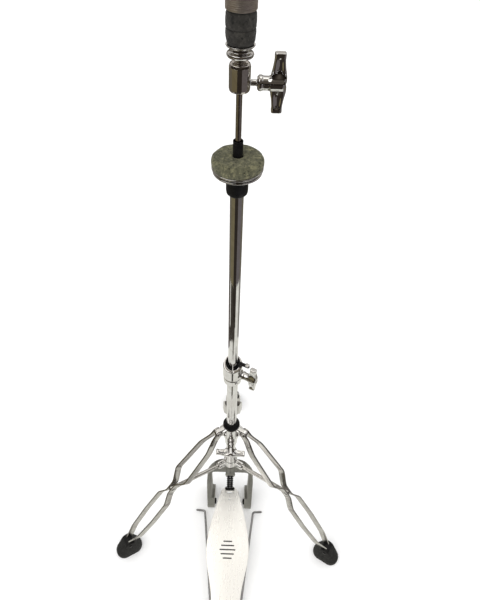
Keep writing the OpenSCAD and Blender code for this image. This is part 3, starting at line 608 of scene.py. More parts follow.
def soft_sun(name, at, strength, spread, color=(1, 1, 1)):
    """Large soft light that falls evenly on the whole floor."""
    data = bpy.data.lights.new(name, "SUN")
    data.energy = strength
    data.angle = math.radians(spread)
    data.color = color
    light = bpy.data.objects.new(name, data)
    light.rotation_euler = Vector(at).to_track_quat("Z", "Y").to_euler()
    bpy.context.scene.collection.objects.link(light)


def glossy_only(name, verts, faces, color):
    """Stage piece seen only in reflections."""
    mat = bpy.data.materials.new(name)
    mat.use_nodes = True
    tree = mat.node_tree
    shader = tree.nodes.new("ShaderNodeEmission")
    shader.inputs["Color"].default_value = (*color, 1)
    tree.links.new(shader.outputs[0], tree.nodes["Material Output"].inputs["Surface"])
    mesh = bpy.data.meshes.new(name)
    mesh.from_pydata(verts, [], faces)
    mesh.materials.append(mat)
    obj = bpy.data.objects.new(name, mesh)
    bpy.context.scene.collection.objects.link(obj)
    obj.visible_camera = False
    obj.visible_diffuse = False
    obj.visible_transmission = False
    obj.visible_shadow = False


def ring_sector(r_in, r_out, start, end, z, steps=48):
    """Flat ring sector on the floor around the column, in metres and degrees."""
    cy = COLUMN_Y * MM
    verts = []
    for k in range(steps + 1):
        a = math.radians(start + (end - start) * k / steps)
        verts += [(r * math.cos(a), cy + r * math.sin(a), z) for r in (r_in, r_out)]
    return verts, [(2 * k, 2 * k + 1, 2 * k + 3, 2 * k + 2) for k in range(steps)]


SHEET_R = 0.85                   # the pale sheet under the stand ends here, metres
NIGHT = (0.030, 0.024, 0.019)
# Painted shadow: the dim glow of the reflected sheet in front of the stand, where the person in front shades it.
FRONT_PAINTED_SHADOW = (0.05, 0.043, 0.035)
REFLECTED_FLOOR = {              # name: from radius, to radius, from azimuth, to azimuth, colour
    "sheet": (0.0, SHEET_R, 0, 360, (0.78, 0.77, 0.71)),
    "sheet_behind_left": (0.45, SHEET_R, 90, 180, (0.13, 0.11, 0.10)),
    "sheet_behind_right": (0.50, SHEET_R, 0, 90, (0.25, 0.24, 0.22)),
    # The two front sheet sectors paint the shadow of the person in front onto the reflected sheet.
    "sheet_front": (0.56, SHEET_R, 195, 302, FRONT_PAINTED_SHADOW),
    "sheet_front_left": (0.48, 0.56, 165, 293, FRONT_PAINTED_SHADOW),
    "pedal_shade": (0.38, 0.48, 258, 281, (0.09, 0.08, 0.06)),
    # Painted shade: the narrow near end of the pedal's shade on the reflected floor.
    "pedal_shade_near": (0.20, 0.34, 262, 268, (0.22, 0.20, 0.17)),
    "room_left": (SHEET_R, 9.0, 180, 270, (0.17, 0.145, 0.085)),
    "room_right": (SHEET_R, 9.0, 270, 360, (0.14, 0.125, 0.125)),
    "room_behind": (SHEET_R, 9.0, 0, 180, (0.15, 0.135, 0.105)),
    "person": (0.60, 9.0, 245, 295, NIGHT),
}


def ramp_between(tree, fac, stops):
    node = tree.nodes.new("ShaderNodeValToRGB")
    band = node.color_ramp
    while len(band.elements) < len(stops):
        band.elements.new(0.5)
    for element, (at, color) in zip(band.elements, stops):
        element.position = at
        element.color = (*color, 1)
    tree.links.new(fac, node.inputs["Fac"])
    return node.outputs["Color"]


def make_world():
    """An even pale sky; polished parts reflect a room that is darker low down and behind the player."""
    world = bpy.data.worlds.new("studio")
    bpy.context.scene.world = world
    world.use_nodes = True
    tree = world.node_tree
    nodes, links = tree.nodes, tree.links
    nodes.clear()
    out = nodes.new("ShaderNodeOutputWorld")
    plain = nodes.new("ShaderNodeBackground")
    plain.inputs["Color"].default_value = (1.0, 1.0, 1.0, 1)
    room = nodes.new("ShaderNodeBackground")
    split = nodes.new("ShaderNodeSeparateXYZ")
    links.new(nodes.new("ShaderNodeTexCoord").outputs["Generated"], split.inputs[0])
    height = ramp_between(tree, split.outputs["Z"], [
        (0.00, (0.05, 0.042, 0.035)), (0.10, (0.08, 0.07, 0.06)), (0.22, (0.22, 0.20, 0.17)),
        (0.36, (0.60, 0.57, 0.53)), (0.55, (0.36, 0.34, 0.32)), (0.80, (0.50, 0.48, 0.45)),
        (0.92, (1.05, 1.02, 0.95)), (1.00, (1.2, 1.17, 1.08)),
    ])
    halved = nodes.new("ShaderNodeMath")
    halved.operation = "MULTIPLY_ADD"
    halved.inputs[1].default_value = 0.5
    halved.inputs[2].default_value = 0.5
    links.new(split.outputs["Y"], halved.inputs[0])
    depth = ramp_between(tree, halved.outputs[0], [
        (0.00, (0.16, 0.14, 0.12)), (0.42, (0.22, 0.20, 0.18)), (0.475, (0.38, 0.35, 0.33)),
        (0.505, (0.85, 0.83, 0.79)), (0.53, (1.0, 1.0, 1.0)),
    ])
    both = nodes.new("ShaderNodeMix")
    both.data_type = "RGBA"
    both.blend_type = "MULTIPLY"
    both.inputs[0].default_value = 1.0
    colors = [s for s in both.inputs if s.type == "RGBA"]
    links.new(height, colors[0])
    links.new(depth, colors[1])
    links.new([s for s in both.outputs if s.type == "RGBA"][0], room.inputs["Color"])
    rays = nodes.new("ShaderNodeLightPath")
    mix = nodes.new("ShaderNodeMixShader")
    links.new(rays.outputs["Is Glossy Ray"], mix.inputs["Fac"])
    links.new(plain.outputs[0], mix.inputs[1])
    links.new(room.outputs[0], mix.inputs[2])
    links.new(mix.outputs[0], out.inputs["Surface"])


def make_studio():
    """Two soft suns and a sky; the floor that polished parts reflect darkens away from the stand."""
    soft_sun("key", (-0.55, -0.35, 1.0), 0.80, 50, (1.0, 0.985, 0.96))
    soft_sun("fill", (0.7, 0.2, 1.0), 0.30, 70, (0.97, 0.98, 1.0))
    make_world()
    for k, (name, (r_in, r_out, start, end, color)) in enumerate(REFLECTED_FLOOR.items()):
        glossy_only("seen_" + name, *ring_sector(r_in, r_out, start, end, (1 + k * 0.15) * MM), color)
    bpy.context.scene.view_settings.view_transform = "Standard"


make_camera()
make_floor()
make_studio()


# ---- solids joined or cut exactly ------------------------------------------


def boolean(kind, first, others):
    """Exact union or difference of closed shapes; gives a mesh."""
    obj = bpy.data.objects.new("base", mesh_from(first, "base"))
    bpy.context.scene.collection.objects.link(obj)
    tools = []
    for other in others:
        tool = bpy.data.objects.new("tool", mesh_from(other, "tool"))
        bpy.context.scene.collection.objects.link(tool)
        tidy_mesh(tool.data)
        step = obj.modifiers.new("step", "BOOLEAN")
        step.operation = kind
        step.solver = "EXACT"
        step.object = tool
        tools.append(tool)
    tidy_mesh(obj.data)
    settle(obj)
    mesh = obj.data
    for spare in [obj] + tools:
        bpy.data.objects.remove(spare)
    return mesh


def fused(first, *others):
    return boolean("UNION", first, others)


def cut(first, *others):
    return boolean("DIFFERENCE", first, others)


ALONG_X = turn(90, "Y")          # a part turned about Z lies along X
ALONG_Y = turn(-90, "X")
UPRIGHT = turn(90, "X")          # a plate drawn as (x, z), centred on y
# for a plate drawn as (y, z), centred on x
SIDEWAYS = Matrix(((0, 0, 1, 0), (1, 0, 0, 0), (0, 1, 0, 0), (0, 0, 0, 1)))


def dome(r, height, steps=6):
    """Quarter arc from the rim (r, 0) to the top (0, height)."""
    return [
        (r * math.cos(math.pi / 2 * k / steps) if k < steps else 0,
         height * math.sin(math.pi / 2 * k / steps))
        for k in range(steps + 1)
    ]


def two_headed(r, length, head_r, head_h, turns=40):
    """Pin centred on Z with a domed head beyond each end."""
    half = length / 2
    top = [(head_r - 0.35, half), (head_r, half + 0.35)]
    top += [(x, half + 0.35 + z) for x, z in dome(head_r, head_h - 0.35)[1:]]
    low = [(x, -z) for x, z in reversed(top)]
    return lathe(low + [(r, -half), (r, half)] + top, turns)


def spun(node, corners, mat, turns=112, **kw):
    """Turned part drawn from (radius, height over the node's foot[, corner radius]) corners."""
    low, high = heights(node)
    corners = [(c[0], c[1] + low, *c[2:]) for c in corners]
    return piece(node + "_turned", turned(corners, turns, 5), mat, node, **kw)


def reaching(node):
    """Height of a node."""
    low, high = heights(node)
    return high - low


# ---- column ----------------------------------------------------------------

LOWER_R = radius("lower_tube")
UPPER_R = radius("upper_tube")
ROD_R = radius("pull_rod")
LOWER_BORE = UPPER_R + 0.35
UPPER_BORE = UPPER_R - 1.2
CLAMP_LOW, CLAMP_TOP = heights("height_clamp")
CLAMP_WING_AZ = -25


def build_tubes():
    low, high = heights("lower_tube")
    outer = tube(LOWER_R, LOWER_BORE, low, high, 0.4, 144)
    piece("lower_tube_turned", outer, M["chrome"], "lower_tube")
    low, high = heights("upper_tube")
    inner = tube(UPPER_R, UPPER_BORE, low, high, 0.4, 144)
    piece("upper_tube_turned", inner, M["chrome"], "upper_tube")
    low, high = heights("pull_rod")
    piece("pull_rod_turned", rod(ROD_R, low, high, 0.8, 96), M["rod_steel_painted_reflection"], "pull_rod")


def split_ring(r, bore, low, high, gap, edge=0.5):
    """Ring with a gap towards -Y."""
    half = math.asin(gap / 2 / bore)
    turns = [-math.pi / 2 + half + (2 * math.pi - 2 * half) * k / 72 for k in range(73)]
    outline = [(r * math.cos(a), r * math.sin(a)) for a in turns]
    outline += [(bore * math.cos(a), bore * math.sin(a)) for a in reversed(turns)]
    return plate(outline, high - low, edge).moved(shift(0, 0, (low + high) / 2))


def build_height_clamp():
    piece("height_clamp_cast", cast_mesh("clamp", "height_clamp", 0.4, 14), M["chrome"], "height_clamp")
    low, high = heights("height_bush")
    ring = split_ring(UPPER_R + 3.8, UPPER_R + 0.1, low, high, 2)
    piece("height_bush_ring", ring, M["black_plastic"], "height_bush")
    build_strap()
    build_key_screw()


STRAP_REACH = 30


def build_strap():
    """Plastic strap from the clamp's lip to a small nut over the wing bolt."""
    low, high = heights("clamp_strap")
    top = high - 1.2
    aim = turn(CLAMP_WING_AZ, "Z")
    inner = 11.5
    corners = [(inner, -3, 0.6), (STRAP_REACH, -3, 2.8), (STRAP_REACH, 3, 2.8), (inner, 3, 0.6)]
    outline = rounded(corners, 6)
    strip = plate(outline, 2.4, 0.5, [circle(1.5, STRAP_REACH - 4, 0)]).moved(aim, shift(0, 0, top))
    tab = box(3, 6, 7, 0.5).moved(aim, shift(inner + 1.5, 0, low + 3.5))
    piece("clamp_strap_plate", fused(strip, tab), M["black_plastic"], "clamp_strap")


def build_key_screw():
    low = CLAMP_LOW + 9
    aim = turn(-65, "Z")
    shank = rod(2.5, LOWER_R + 0.1, 17.3).moved(aim, ALONG_X)
    flange = rod(4, 17, 19, 0.5).moved(aim, ALONG_X)
    head = box(5.5, 5.5, 6.4, 0.7).moved(aim, shift(21.7), ALONG_X)
    screw = joined([shank, flange, head]).moved(shift(0, 0, low))
    aim = turn(CLAMP_WING_AZ, "Z")
    top = heights("clamp_strap")[1]
    at = aim @ shift(STRAP_REACH - 4, 0, top)
    nut = box(6, 6, 3.2, 0.6).moved(at, shift(0, 0, 1.6))
    stud = turned([(0, -3.4), (1.45, -3.4), (1.45, 3.4, 0.5), (0, 3.4)], 32).moved(at)
    parts = fused(screw, nut, stud)
    piece("clamp_screws", parts, M["chrome"], "clamp_fasteners")


# ---- wing bolts ------------------------------------------------------------

HUB_R = 7.3
HUB_L = 27
ARM_X = 20
ARM_REACH = 28


def arm_section(width, thick, dish, z, count=56):
    """Rounded rectangle whose two broad faces are hollowed by a share, dish."""
    loop = []
    for k in range(count):
        c, s = math.cos(2 * math.pi * k / count), math.sin(2 * math.pi * k / count)
        x = width / 2 * math.copysign(abs(c) ** 0.42, c)
        y = thick / 2 * math.copysign(abs(s) ** 0.42, s)
        loop.append((x, y * (1 - dish * math.cos(math.pi * x / width) ** 2), z))
    return loop


def wing_arm():
    """One arm of a wing bolt, up along Z: dished for the thumb, with a lip at the tip."""
    stations = [
        (2.0, 15.4, 10.4, 0.0), (5.5, 15.6, 10.0, 0.0), (7.5, 15.1, 9.2, 0.08), (10.0, 14.2, 8.6, 0.24),
        (13.0, 12.8, 8.2, 0.34), (16.5, 11.7, 7.9, 0.38),
        (19.5, 10.9, 7.7, 0.36), (22.0, 10.5, 7.6, 0.25),
        (23.4, 10.5, 7.7, 0.10), (24.4, 10.7, 7.9, 0.0), (26.6, 10.7, 8.0, 0.0), (27.5, 10.3, 7.5, 0.0),
        (ARM_REACH, 9.0, 6.2, 0.0),
    ]
    fine = []
    for a, b in zip(stations, stations[1:]):
        fine += [[p + (q - p) * k / 3 for p, q in zip(a, b)] for k in range(3)]
    fine.append(stations[-1])
    return loft([arm_section(w, t, d, z) for z, w, t, d in fine])


def wing_bolt(screw_r, screw_l):
    """Wing bolt along +X: hub from 0, arms up and down, screw towards -X."""
    hub = turned([
        (0, 0), (5.6, 0, 0.6), (HUB_R, 1.8, 0.8), (HUB_R, 4.2, 0.8), (6.5, 5.4, 0.8), (6.5, 10.5, 1.5),
        (7.1, 13, 1.5), (7.1, HUB_L - 2.6, 2), (5.0, HUB_L, 1.5), (0, HUB_L),
    ], 96, 5).moved(ALONG_X)
    screw = rod(screw_r, -screw_l, 1, 0.4, 40).moved(ALONG_X)
    arms = [wing_arm().moved(shift(ARM_X, 0, 0), turn(a, "X")) for a in (0, 180)]
    return hub, arms, screw


def build_wing(node, place, screw_r, screw_l):
    hub, arms, screw = wing_bolt(screw_r, screw_l)
    whole = [s.moved(place) for s in (hub, *arms, screw)]
    mesh = cast_mesh(node, fused(*whole), 0.32, 5, 0.5)
    piece(node + "_cast", mesh, M["chrome"], node)


def build_wings():
    wing_z = joint_height("height_wing_turn")
    place = shift(0, 0, wing_z) @ turn(CLAMP_WING_AZ, "Z") @ shift(17.1)
    build_wing("height_wing_bolt", place, 2.9, 4.5)
    place = shift(0, -22.3, joint_height("collar_wing_turn")) @ turn(-90, "Z") @ turn(84, "X")
    build_wing("collar_wing_bolt", place, 2.9, 6)
    build_wing("clutch_wing_bolt", shift(16.5, 0, joint_height("clutch_wing_turn")), 2.9, 6.1)


def joint_height(name):
    return joints[name]["pos_m"][2] / MM


# ---- tripod ----------------------------------------------------------------

AZIMUTHS = {"left": 210, "right": 330, "back": 90}
PIVOT_Z = joint_height("back_leg_fold")
PIVOT_R = joints["back_leg_fold"]["pos_m"][1] / MM - COLUMN_Y
BRACE_Z = joint_height("back_brace_fold")
BRACE_R = joints["back_brace_fold"]["pos_m"][1] / MM - COLUMN_Y
TIP_R = 266
TIP_Z = 34
LEG_L = math.hypot(PIVOT_Z - TIP_Z, TIP_R - PIVOT_R)
LEG_PITCH = math.degrees(math.atan2(PIVOT_Z - TIP_Z, TIP_R - PIVOT_R))
PINCH = 183                      # along the leg, where its bars meet at the brace
FOOT_BOLT = LEG_L - 12
BAR_T = 3
BAR_DEPTH = 15
BAR_TOP_Y = 5.8
BAR_PINCH_Y = 4.2
BAR_FOOT_Y = 5.5
BAR_STATIONS = [
    (-8, BAR_TOP_Y), (13, BAR_TOP_Y), (46, 15), (64, 16.3), (139, 20.2), (PINCH - 18, BAR_PINCH_Y),
    (PINCH + 12, BAR_PINCH_Y), (PINCH + 36, 16), (LEG_L - 117, 17), (LEG_L - 53, 14),
    (LEG_L - 18, BAR_FOOT_Y), (LEG_L + 4, BAR_FOOT_Y),
]


def leg_place(az):
    return turn(az, "Z") @ shift(PIVOT_R, 0, PIVOT_Z) @ turn(LEG_PITCH, "Y")


def softened(points, reach, steps=7):
    """Polyline whose inner corners are short curves."""
    points = [Vector(p) for p in points]
    out = [points[0]]
    for a, b, c in zip(points, points[1:], points[2:]):
        p = b + (a - b).normalized() * reach
        q = b + (c - b).normalized() * reach
        out += [p.lerp(b, k / steps).lerp(b.lerp(q, k / steps), k / steps) for k in range(steps + 1)]
    return out + [points[-1]]


def leg_bar(side):
    """Flat bar bent in its own plane, with round ends and eased edges."""
    end = LEG_L - 4
    r = BAR_DEPTH / 2
    path = [p for p in softened(BAR_STATIONS, 6) if 1 < p.x < end - 1]
    tips = [90 - 7.5 * k for k in range(12)] + [0]
    path = [Vector((-r * math.sin(math.radians(a)), BAR_TOP_Y)) for a in tips] + path
    path += [Vector((end + r * math.sin(math.radians(a)), BAR_FOOT_Y)) for a in reversed(tips)]
    sections = []
    for i, p in enumerate(path):
        ahead = (path[min(i + 1, len(path) - 1)] - path[max(i - 1, 0)]).normalized()
        past = max(-p.x, p.x - end, 0)
        half = max(math.sqrt(max(r * r - past * past, 0)), 0.9)
        t = BAR_T / 2
        loop = rounded([(t, half, 0.6), (-t, half, 0.6), (-t, -half, 0.6), (t, -half, 0.6)], 3)
        sections.append([
            (p.x - ahead.y * s.x, side * (p.y + ahead.x * s.x), s.y) for s in loop
        ])
    return loft(sections)


def build_legs():
    bars = {
        "left": ("left_leg_front_bar", "left_leg_rear_bar"),
        "right": ("right_leg_rear_bar", "right_leg_front_bar"),
        "back": ("back_leg_left_bar", "back_leg_right_bar"),
    }
    for name, az in AZIMUTHS.items():
        place = leg_place(az)
        for node, side in zip(bars[name], (1, -1)):
            eye = rod(2.56, -40, 40).moved(place, ALONG_Y)
            piece(node + "_bent", cut(leg_bar(side).moved(place), eye), M["plated_bar"], node)
        rivet = two_headed(2.5, 2 * BAR_PINCH_Y + BAR_T, 4.3, 1.9).moved(place, shift(PINCH), ALONG_Y)
        piece(name + "_leg_rivet", rivet, M["chrome"], name + "_leg_rivets")
        bolt = two_headed(2.5, 27, 4.3, 1.9).moved(place, shift(FOOT_BOLT), ALONG_Y)
        piece(name + "_foot_bolt", bolt, M["black_steel"], body=name + "_leg", slot="black_steel")
        build_boot(name, az)
        build_brace(name, az)


def stadium(half_l, r, x, z, count=64):
    loop = []
    for k in range(count):
        a = 2 * math.pi * (k + 0.5) / count
        loop.append((x + math.copysign(half_l, math.cos(a)) + r * math.cos(a), r * math.sin(a), z))
    return loop


def build_boot(name, az):
    """Rubber boot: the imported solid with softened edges, and a ribbed sole around it."""
    node = name + "_leg_foot"
    body = Shape([v.co / MM - Vector((0, COLUMN_Y, 0)) for v in frame["nodes"][node].data.vertices],
                 [p.vertices for p in frame["nodes"][node].data.polygons])
    place = turn(az, "Z")
    levels = [(0.0, -0.9), (0.7, 0.1), (2.0, 0.5), (3.2, 0.5), (3.9, 0.0), (4.3, -0.7), (4.7, -0.9)]
    levels += [(5.1, -0.5), (5.6, 0.15), (6.9, 0.15), (7.5, -0.6), (8.2, -3)]
    sole = loft([stadium(11, 18 + dr, 263, z) for z, dr in levels]).moved(place)
    mesh = cast_mesh(node, body.add(sole), 0.62, 3, 0.5)
    piece(node + "_moulded", mesh, M["rubber"], node)


def build_brace(name, az):
    """Flat brace with an eye at the hub and a slotted end at the leg's pinch."""
    pinch_x = PIVOT_R + PINCH * math.cos(math.radians(LEG_PITCH))
    pinch_z = PIVOT_Z - PINCH * math.sin(math.radians(LEG_PITCH))
    length = math.hypot(pinch_x - BRACE_R, pinch_z - BRACE_Z)
    tilt = math.degrees(math.atan2(pinch_z - BRACE_Z, pinch_x - BRACE_R))
    half = [
        (-6.5, 6.5, 6.3), (4, 6.5, 5), (9, 5, 6), (length - 24, 5, 6), (length - 16, 7.5, 6),
        (length + 7.5, 7.5, 7.3),
    ]
    outline = rounded([(x, -z, r) for x, z, r in half] + [(x, z, r) for x, z, r in reversed(half)], 8)
    slot = [
        (length - 10.5 - 4.2, -1.5 - 4.2, 4.1), (length + 1, -5.7, 1), (length + 2.7, -1, 2.6),
        (length + 2.7, 2.7, 2.6), (length - 10.5 - 4.2, 2.7, 4.1),
    ]
    flat = plate(outline, 4, 0.6, [circle(2.56, 0, 0), rounded(slot, 5)])
    spine = box(length - 29.5, 8.6, 6.4, 1.4).moved(shift(14 + (length - 29.5) / 2))
    place = turn(az, "Z") @ shift(BRACE_R, 0, BRACE_Z) @ turn(-tilt, "Y") @ UPRIGHT
    mesh = fused(flat.moved(place), spine.moved(place))
    piece(name + "_brace_plate", mesh, M["plated_bar"], name + "_brace")


def build_hub():
    piece("brace_hub_cast", cast_mesh("hub", "brace_hub", 0.45, 10), M["chrome"], "brace_hub")
    pins = [
        two_headed(2.5, size_of_hub_pin(), 4, 1.6)
        .moved(turn(az, "Z"), shift(BRACE_R, 0, BRACE_Z), ALONG_Y)
        for az in AZIMUTHS.values()
    ]
    piece("hub_pin_set", joined(pins), M["chrome"], "hub_pins")


def size_of_hub_pin():
    return 2 * (2 + 0.3 + 3.5)


def build_collar():
    piece("leg_collar_cast", cast_mesh("collar", "leg_collar", 0.5, 12), M["chrome"], "leg_collar")
    low, top = heights("collar_bush")
    collar_top = heights("leg_collar")[1]
    bore = LOWER_R + 0.1
    corners = [
        (bore, low), (11.4, low), (11.4, collar_top),
        (16.2, collar_top, 0.4), (16.2, collar_top + 3.2, 1.8),
        (LOWER_R + 1.4, top, 1.2), (bore, top, 0.2),
    ]
    piece("collar_bush_turned", turned(corners, 128, 7), M["black_plastic"], "collar_bush")
    length = 2 * (BAR_TOP_Y + BAR_T / 2 + 0.3)
    bolts = [
        two_headed(2.5, length, 4.3, 1.9).moved(turn(az, "Z"), shift(PIVOT_R, 0, PIVOT_Z), ALONG_Y)
        for az in AZIMUTHS.values()
    ]
    piece("leg_bolt_set", joined(bolts), M["chrome"], "leg_bolts")


# ---- base frame, rods and heel ---------------------------------------------

HOOK_Z = 10.8
HOOK_Y = -22
SOLE_IN = 36                     # inner face of each foot of the frame


def build_base():
    piece("base_frame_cast", cast_mesh("frame", "base_frame", 0.8, 12), M["cast_frame"], "base_frame")
    inner = SOLE_IN
    depth = radius("base_frame") - inner
    corners = [(3, -4, 0.8), (6.8, -4, 1.2), (6.8, 0, 0.6), (5, 0), (5, depth, 0.5), (3, depth, 0.8)]
    bush = turned(corners, 48)
    pair = [bush.moved(shift(s * inner, HOOK_Y, HOOK_Z), turn(s * 90, "Y")) for s in (1, -1)]
    piece("hook_bush_pair", joined(pair), M["black_plastic"], "hook_bushes")


HEEL_Y = joints["pedal_press"]["pos_m"][1] / MM - COLUMN_Y
HEEL_Z = joint_height("pedal_press")
HEEL_END = -400
HEEL_FRONT = -279
LUG_IN = 31.3
LUG_OUT = 37.5
ROD_PIVOT = (25, -300)


def heel_plate():
    w = 43
    window = HEEL_Y - 3
    outline = rounded([
        (-w, HEEL_END, 14), (w, HEEL_END, 14), (w, HEEL_FRONT, 2.5), (LUG_IN, HEEL_FRONT, 1.2),
        (LUG_IN, window, 3), (-LUG_IN, window, 3), (-LUG_IN, HEEL_FRONT, 1.2), (-w, HEEL_FRONT, 2.5),
    ], 6)
    floor = plate(outline, 5, 1.0).moved(shift(0, 0, 5.5))
    lug = rounded([
        (HEEL_Y - 22, 4, 1), (HEEL_Y + 10, 4, 1), (HEEL_Y + 7.5, HEEL_Z + 7.5, 7.4),
        (HEEL_Y - 7.5, HEEL_Z + 7.5, 7.4),
    ], 10)
    lugs = [
        plate(lug, LUG_OUT - LUG_IN, 0.8).moved(shift(s * (LUG_IN + LUG_OUT) / 2), SIDEWAYS)
        for s in (1, -1)
    ]
    ribs = [
        plate(rounded([
            (-34, y - 1.6, 1.5), (34, y - 1.6, 1.5), (34, y + 1.6, 1.5), (-34, y + 1.6, 1.5),
        ], 5), 1.8, 0.6)
        .moved(shift(0, 0, 8)) for y in range(HEEL_END + 16, int(HEEL_Y) - 24, 10)
    ]
    return fused(floor, *lugs, *ribs)


def build_heel():
    piece("heel_plate_cast", heel_plate(), M["pedal_plate"], "heel_plate")
    w = 39
    rear = HEEL_END + 16
    front = HEEL_Y - 8
    outline = rounded([(-w, rear, 8), (w, rear, 8), (w, front, 2), (-w, front, 2)], 5)
    pad = plate(outline, 3, 0.5, [
        rounded([(-w + 8, y - 3, 1), (w - 8, y - 3, 1), (w - 8, y + 3, 1), (-w + 8, y + 3, 1)]) for y in
        range(HEEL_END + 30, int(HEEL_Y) - 16, 14)
    ])
    piece("heel_pad_moulded", pad.moved(shift(0, 0, 1.5)), M["rubber"], "heel_pad")
    pin = two_headed(3, 2 * LUG_OUT, 4.5, 2.1).moved(shift(0, HEEL_Y, HEEL_Z), ALONG_X)
    piece("hinge_pin_headed", pin, M["chrome"], "hinge_pin")
    low, high = heights("rod_pivots")
    neck = high - 2.2
    corners = [(0, low), (2.5, low), (2.5, neck), (4.5, neck, 0.4), (4.3, high - 0.7, 0.8), (0, high)]
    pivots = [turned(corners, 40).moved(shift(s * ROD_PIVOT[0], ROD_PIVOT[1])) for s in (1, -1)]
    piece("rod_pivot_pair", joined(pivots), M["chrome"], "rod_pivots")


ROD_TIP = (58.5, -46)
HOOK_L = 22
HOOK_TURN = 78
BEND_R = 5


def radius_rod(side):
    """Steel rod from its eye at the heel to a hooked end at the frame."""
    pivot = Vector((*ROD_PIVOT, HOOK_Z))
    tip = Vector((*ROD_TIP, HOOK_Z))
    ahead = (tip - pivot).normalized()
    out = Vector((ahead.y, -ahead.x, 0))
    bend_at = tip - ahead * BEND_R
    path = [pivot + ahead * 3 + (bend_at - pivot - ahead * 3) * k / 4 for k in range(5)]
    centre = bend_at + out * BEND_R
    for k in range(1, 13):
        a = math.radians(HOOK_TURN * k / 12)
        path.append(centre - out * BEND_R * math.cos(a) + ahead * BEND_R * math.sin(a))
    last = math.radians(HOOK_TURN)
    along = ahead * math.cos(last) + out * math.sin(last)
    path.append(path[-1] + along * (HOOK_L - BEND_R - 1.4))
    shaft = wire(path, 2.5, 32)
    eye = turned([(2.56, -2.5, 0.5), (5.5, -2.5, 0.9), (5.5, 2.5, 0.9), (2.56, 2.5, 0.5)], 56)
    eye = eye.moved(shift(*pivot))
    flip = Matrix.Scale(-1, 4, (1, 0, 0)) if side < 0 else Matrix.Identity(4)
    return [s.moved(flip) for s in (shaft, eye)]


def build_rods():
    for name, side in (("left", -1), ("right", 1)):
        bent = fused(*radius_rod(side))
        piece(name + "_rod_bent", bent, M["steel_rod"], name + "_radius_rod")


# ---- footboard and chain ---------------------------------------------------

BOARD_PITCH = 6.2
BOARD_T = 5
BOARD_LOW = 1
BOARD_TIP = 284
TOE_HALF = 17.5
TIP_CORNER = 6
SLOT_Y = 273.7
TOE_PIN = (281, 11.7)            # along the board and above it, from the hinge


def board_place():
    return shift(0, HEEL_Y, HEEL_Z) @ turn(BOARD_PITCH, "X")


def ease(t):
    return (1 - math.cos(math.pi * t)) / 2


def board_half(y):
    """Half width of the board at a distance from its hinge."""
    if y < 45:
        return 31
    if y < 152:
        return 31 + 17 * ease((y - 45) / 107)
    return 48 + (TOE_HALF + 0.5 - 48) * (2 * ease((y - 152) / (2 * (BOARD_TIP - 152)))) ** 0.85


def footboard():
    last = BOARD_TIP - TIP_CORNER
    ys = [4 + (last - 4) * k / 70 for k in range(71)]
    right = [(board_half(y), y) for y in ys]
    for a in range(8, 90, 8):
        c, s = math.cos(math.radians(a)), math.sin(math.radians(a))
        right.append((TOE_HALF - TIP_CORNER * (1 - c), last + TIP_CORNER * s))
    outline = right + [(-x, y) for x, y in reversed(right)]
    slot_corners = ((-6.2, -2.2), (6.2, -2.2), (6.2, 2.2), (-6.2, 2.2))
    slot = rounded([(x, SLOT_Y + y, 2.15) for x, y in slot_corners], 8)
    holes = [slot, circle(2.2, 0, 258.5)]
    flat = plate(outline, BOARD_T, 1.1, holes, 5).moved(shift(0, 0, BOARD_LOW + BOARD_T / 2))
    corners = [(3.06, -31, 0.4), (7, -31, 0.8), (7, 31, 0.8), (3.06, 31, 0.4)]
    knuckle = turned(corners, 64).moved(ALONG_X)
    web = box(62, 8, 7.4, 0.8).moved(shift(0, 8.2, 2))
    return fused(*[s.moved(board_place()) for s in (flat, knuckle, web)])


def printed_mark():
    """Five short crosswise bars, as plain wear strips under the ball of the foot."""
    bars = []
    for k, length in enumerate((20, 30, 36, 30, 20)):
        y = 150 + 8.5 * (k - 2)
        outline = rounded([
            (-length / 2, y - 1.3, 1.2), (length / 2, y - 1.3, 1.2),
            (length / 2, y + 1.3, 1.2), (-length / 2, y + 1.3, 1.2),
        ], 5)
        bars.append(plate(outline, 0.5, 0.12).moved(shift(0, 0, BOARD_LOW + BOARD_T)))
    return joined(bars).moved(board_place())


def build_board():
    piece("footboard_plate", footboard(), M["pedal_plate"], "footboard")
    piece("footboard_strips", printed_mark(), M["mark_paint"], body="pedal", slot="black_steel")
    bracket = cast_mesh("bracket", "toe_bracket", 0.28, 4)
    piece("toe_bracket_pressed", bracket, M["black_steel"], "toe_bracket")
    pin = two_headed(1.15, 21.6, 2.1, 0.9, 32)
    pin = pin.moved(board_place(), shift(0, *TOE_PIN), ALONG_X)
    piece("toe_pin_headed", pin, M["black_steel"], "toe_pin")


CHAIN_N = 7
CLEVIS_PIN_Z = 120


def chain_geometry():
    """Pitch of the chain and its lean towards the player, in degrees."""
    toe = board_place() @ Vector((0, *TOE_PIN))
    length = math.hypot(toe.y, CLEVIS_PIN_Z - toe.z)
    return length / CHAIN_N, math.degrees(math.atan2(-toe.y, CLEVIS_PIN_Z - toe.z))


def link(pitch, upper_bore, lower_bore):
    """Waisted link plate between two pins, drawn as (y, z)."""
    r = 2.9
    outline = [
        (r * math.cos(math.radians(a)), r * math.sin(math.radians(a))) for a in range(-36, 217, 12)
    ]
    outline.append((-1.85, -pitch / 2))
    outline += [
        (r * math.cos(math.radians(a)), -pitch + r * math.sin(math.radians(a)))
        for a in range(144, 397, 12)
    ]
    outline.append((1.85, -pitch / 2))
    bores = [circle(upper_bore, 0, 0, 20), circle(lower_bore, 0, -pitch, 20)]
    return plate(outline, 0.9, 0.2, bores, 2)


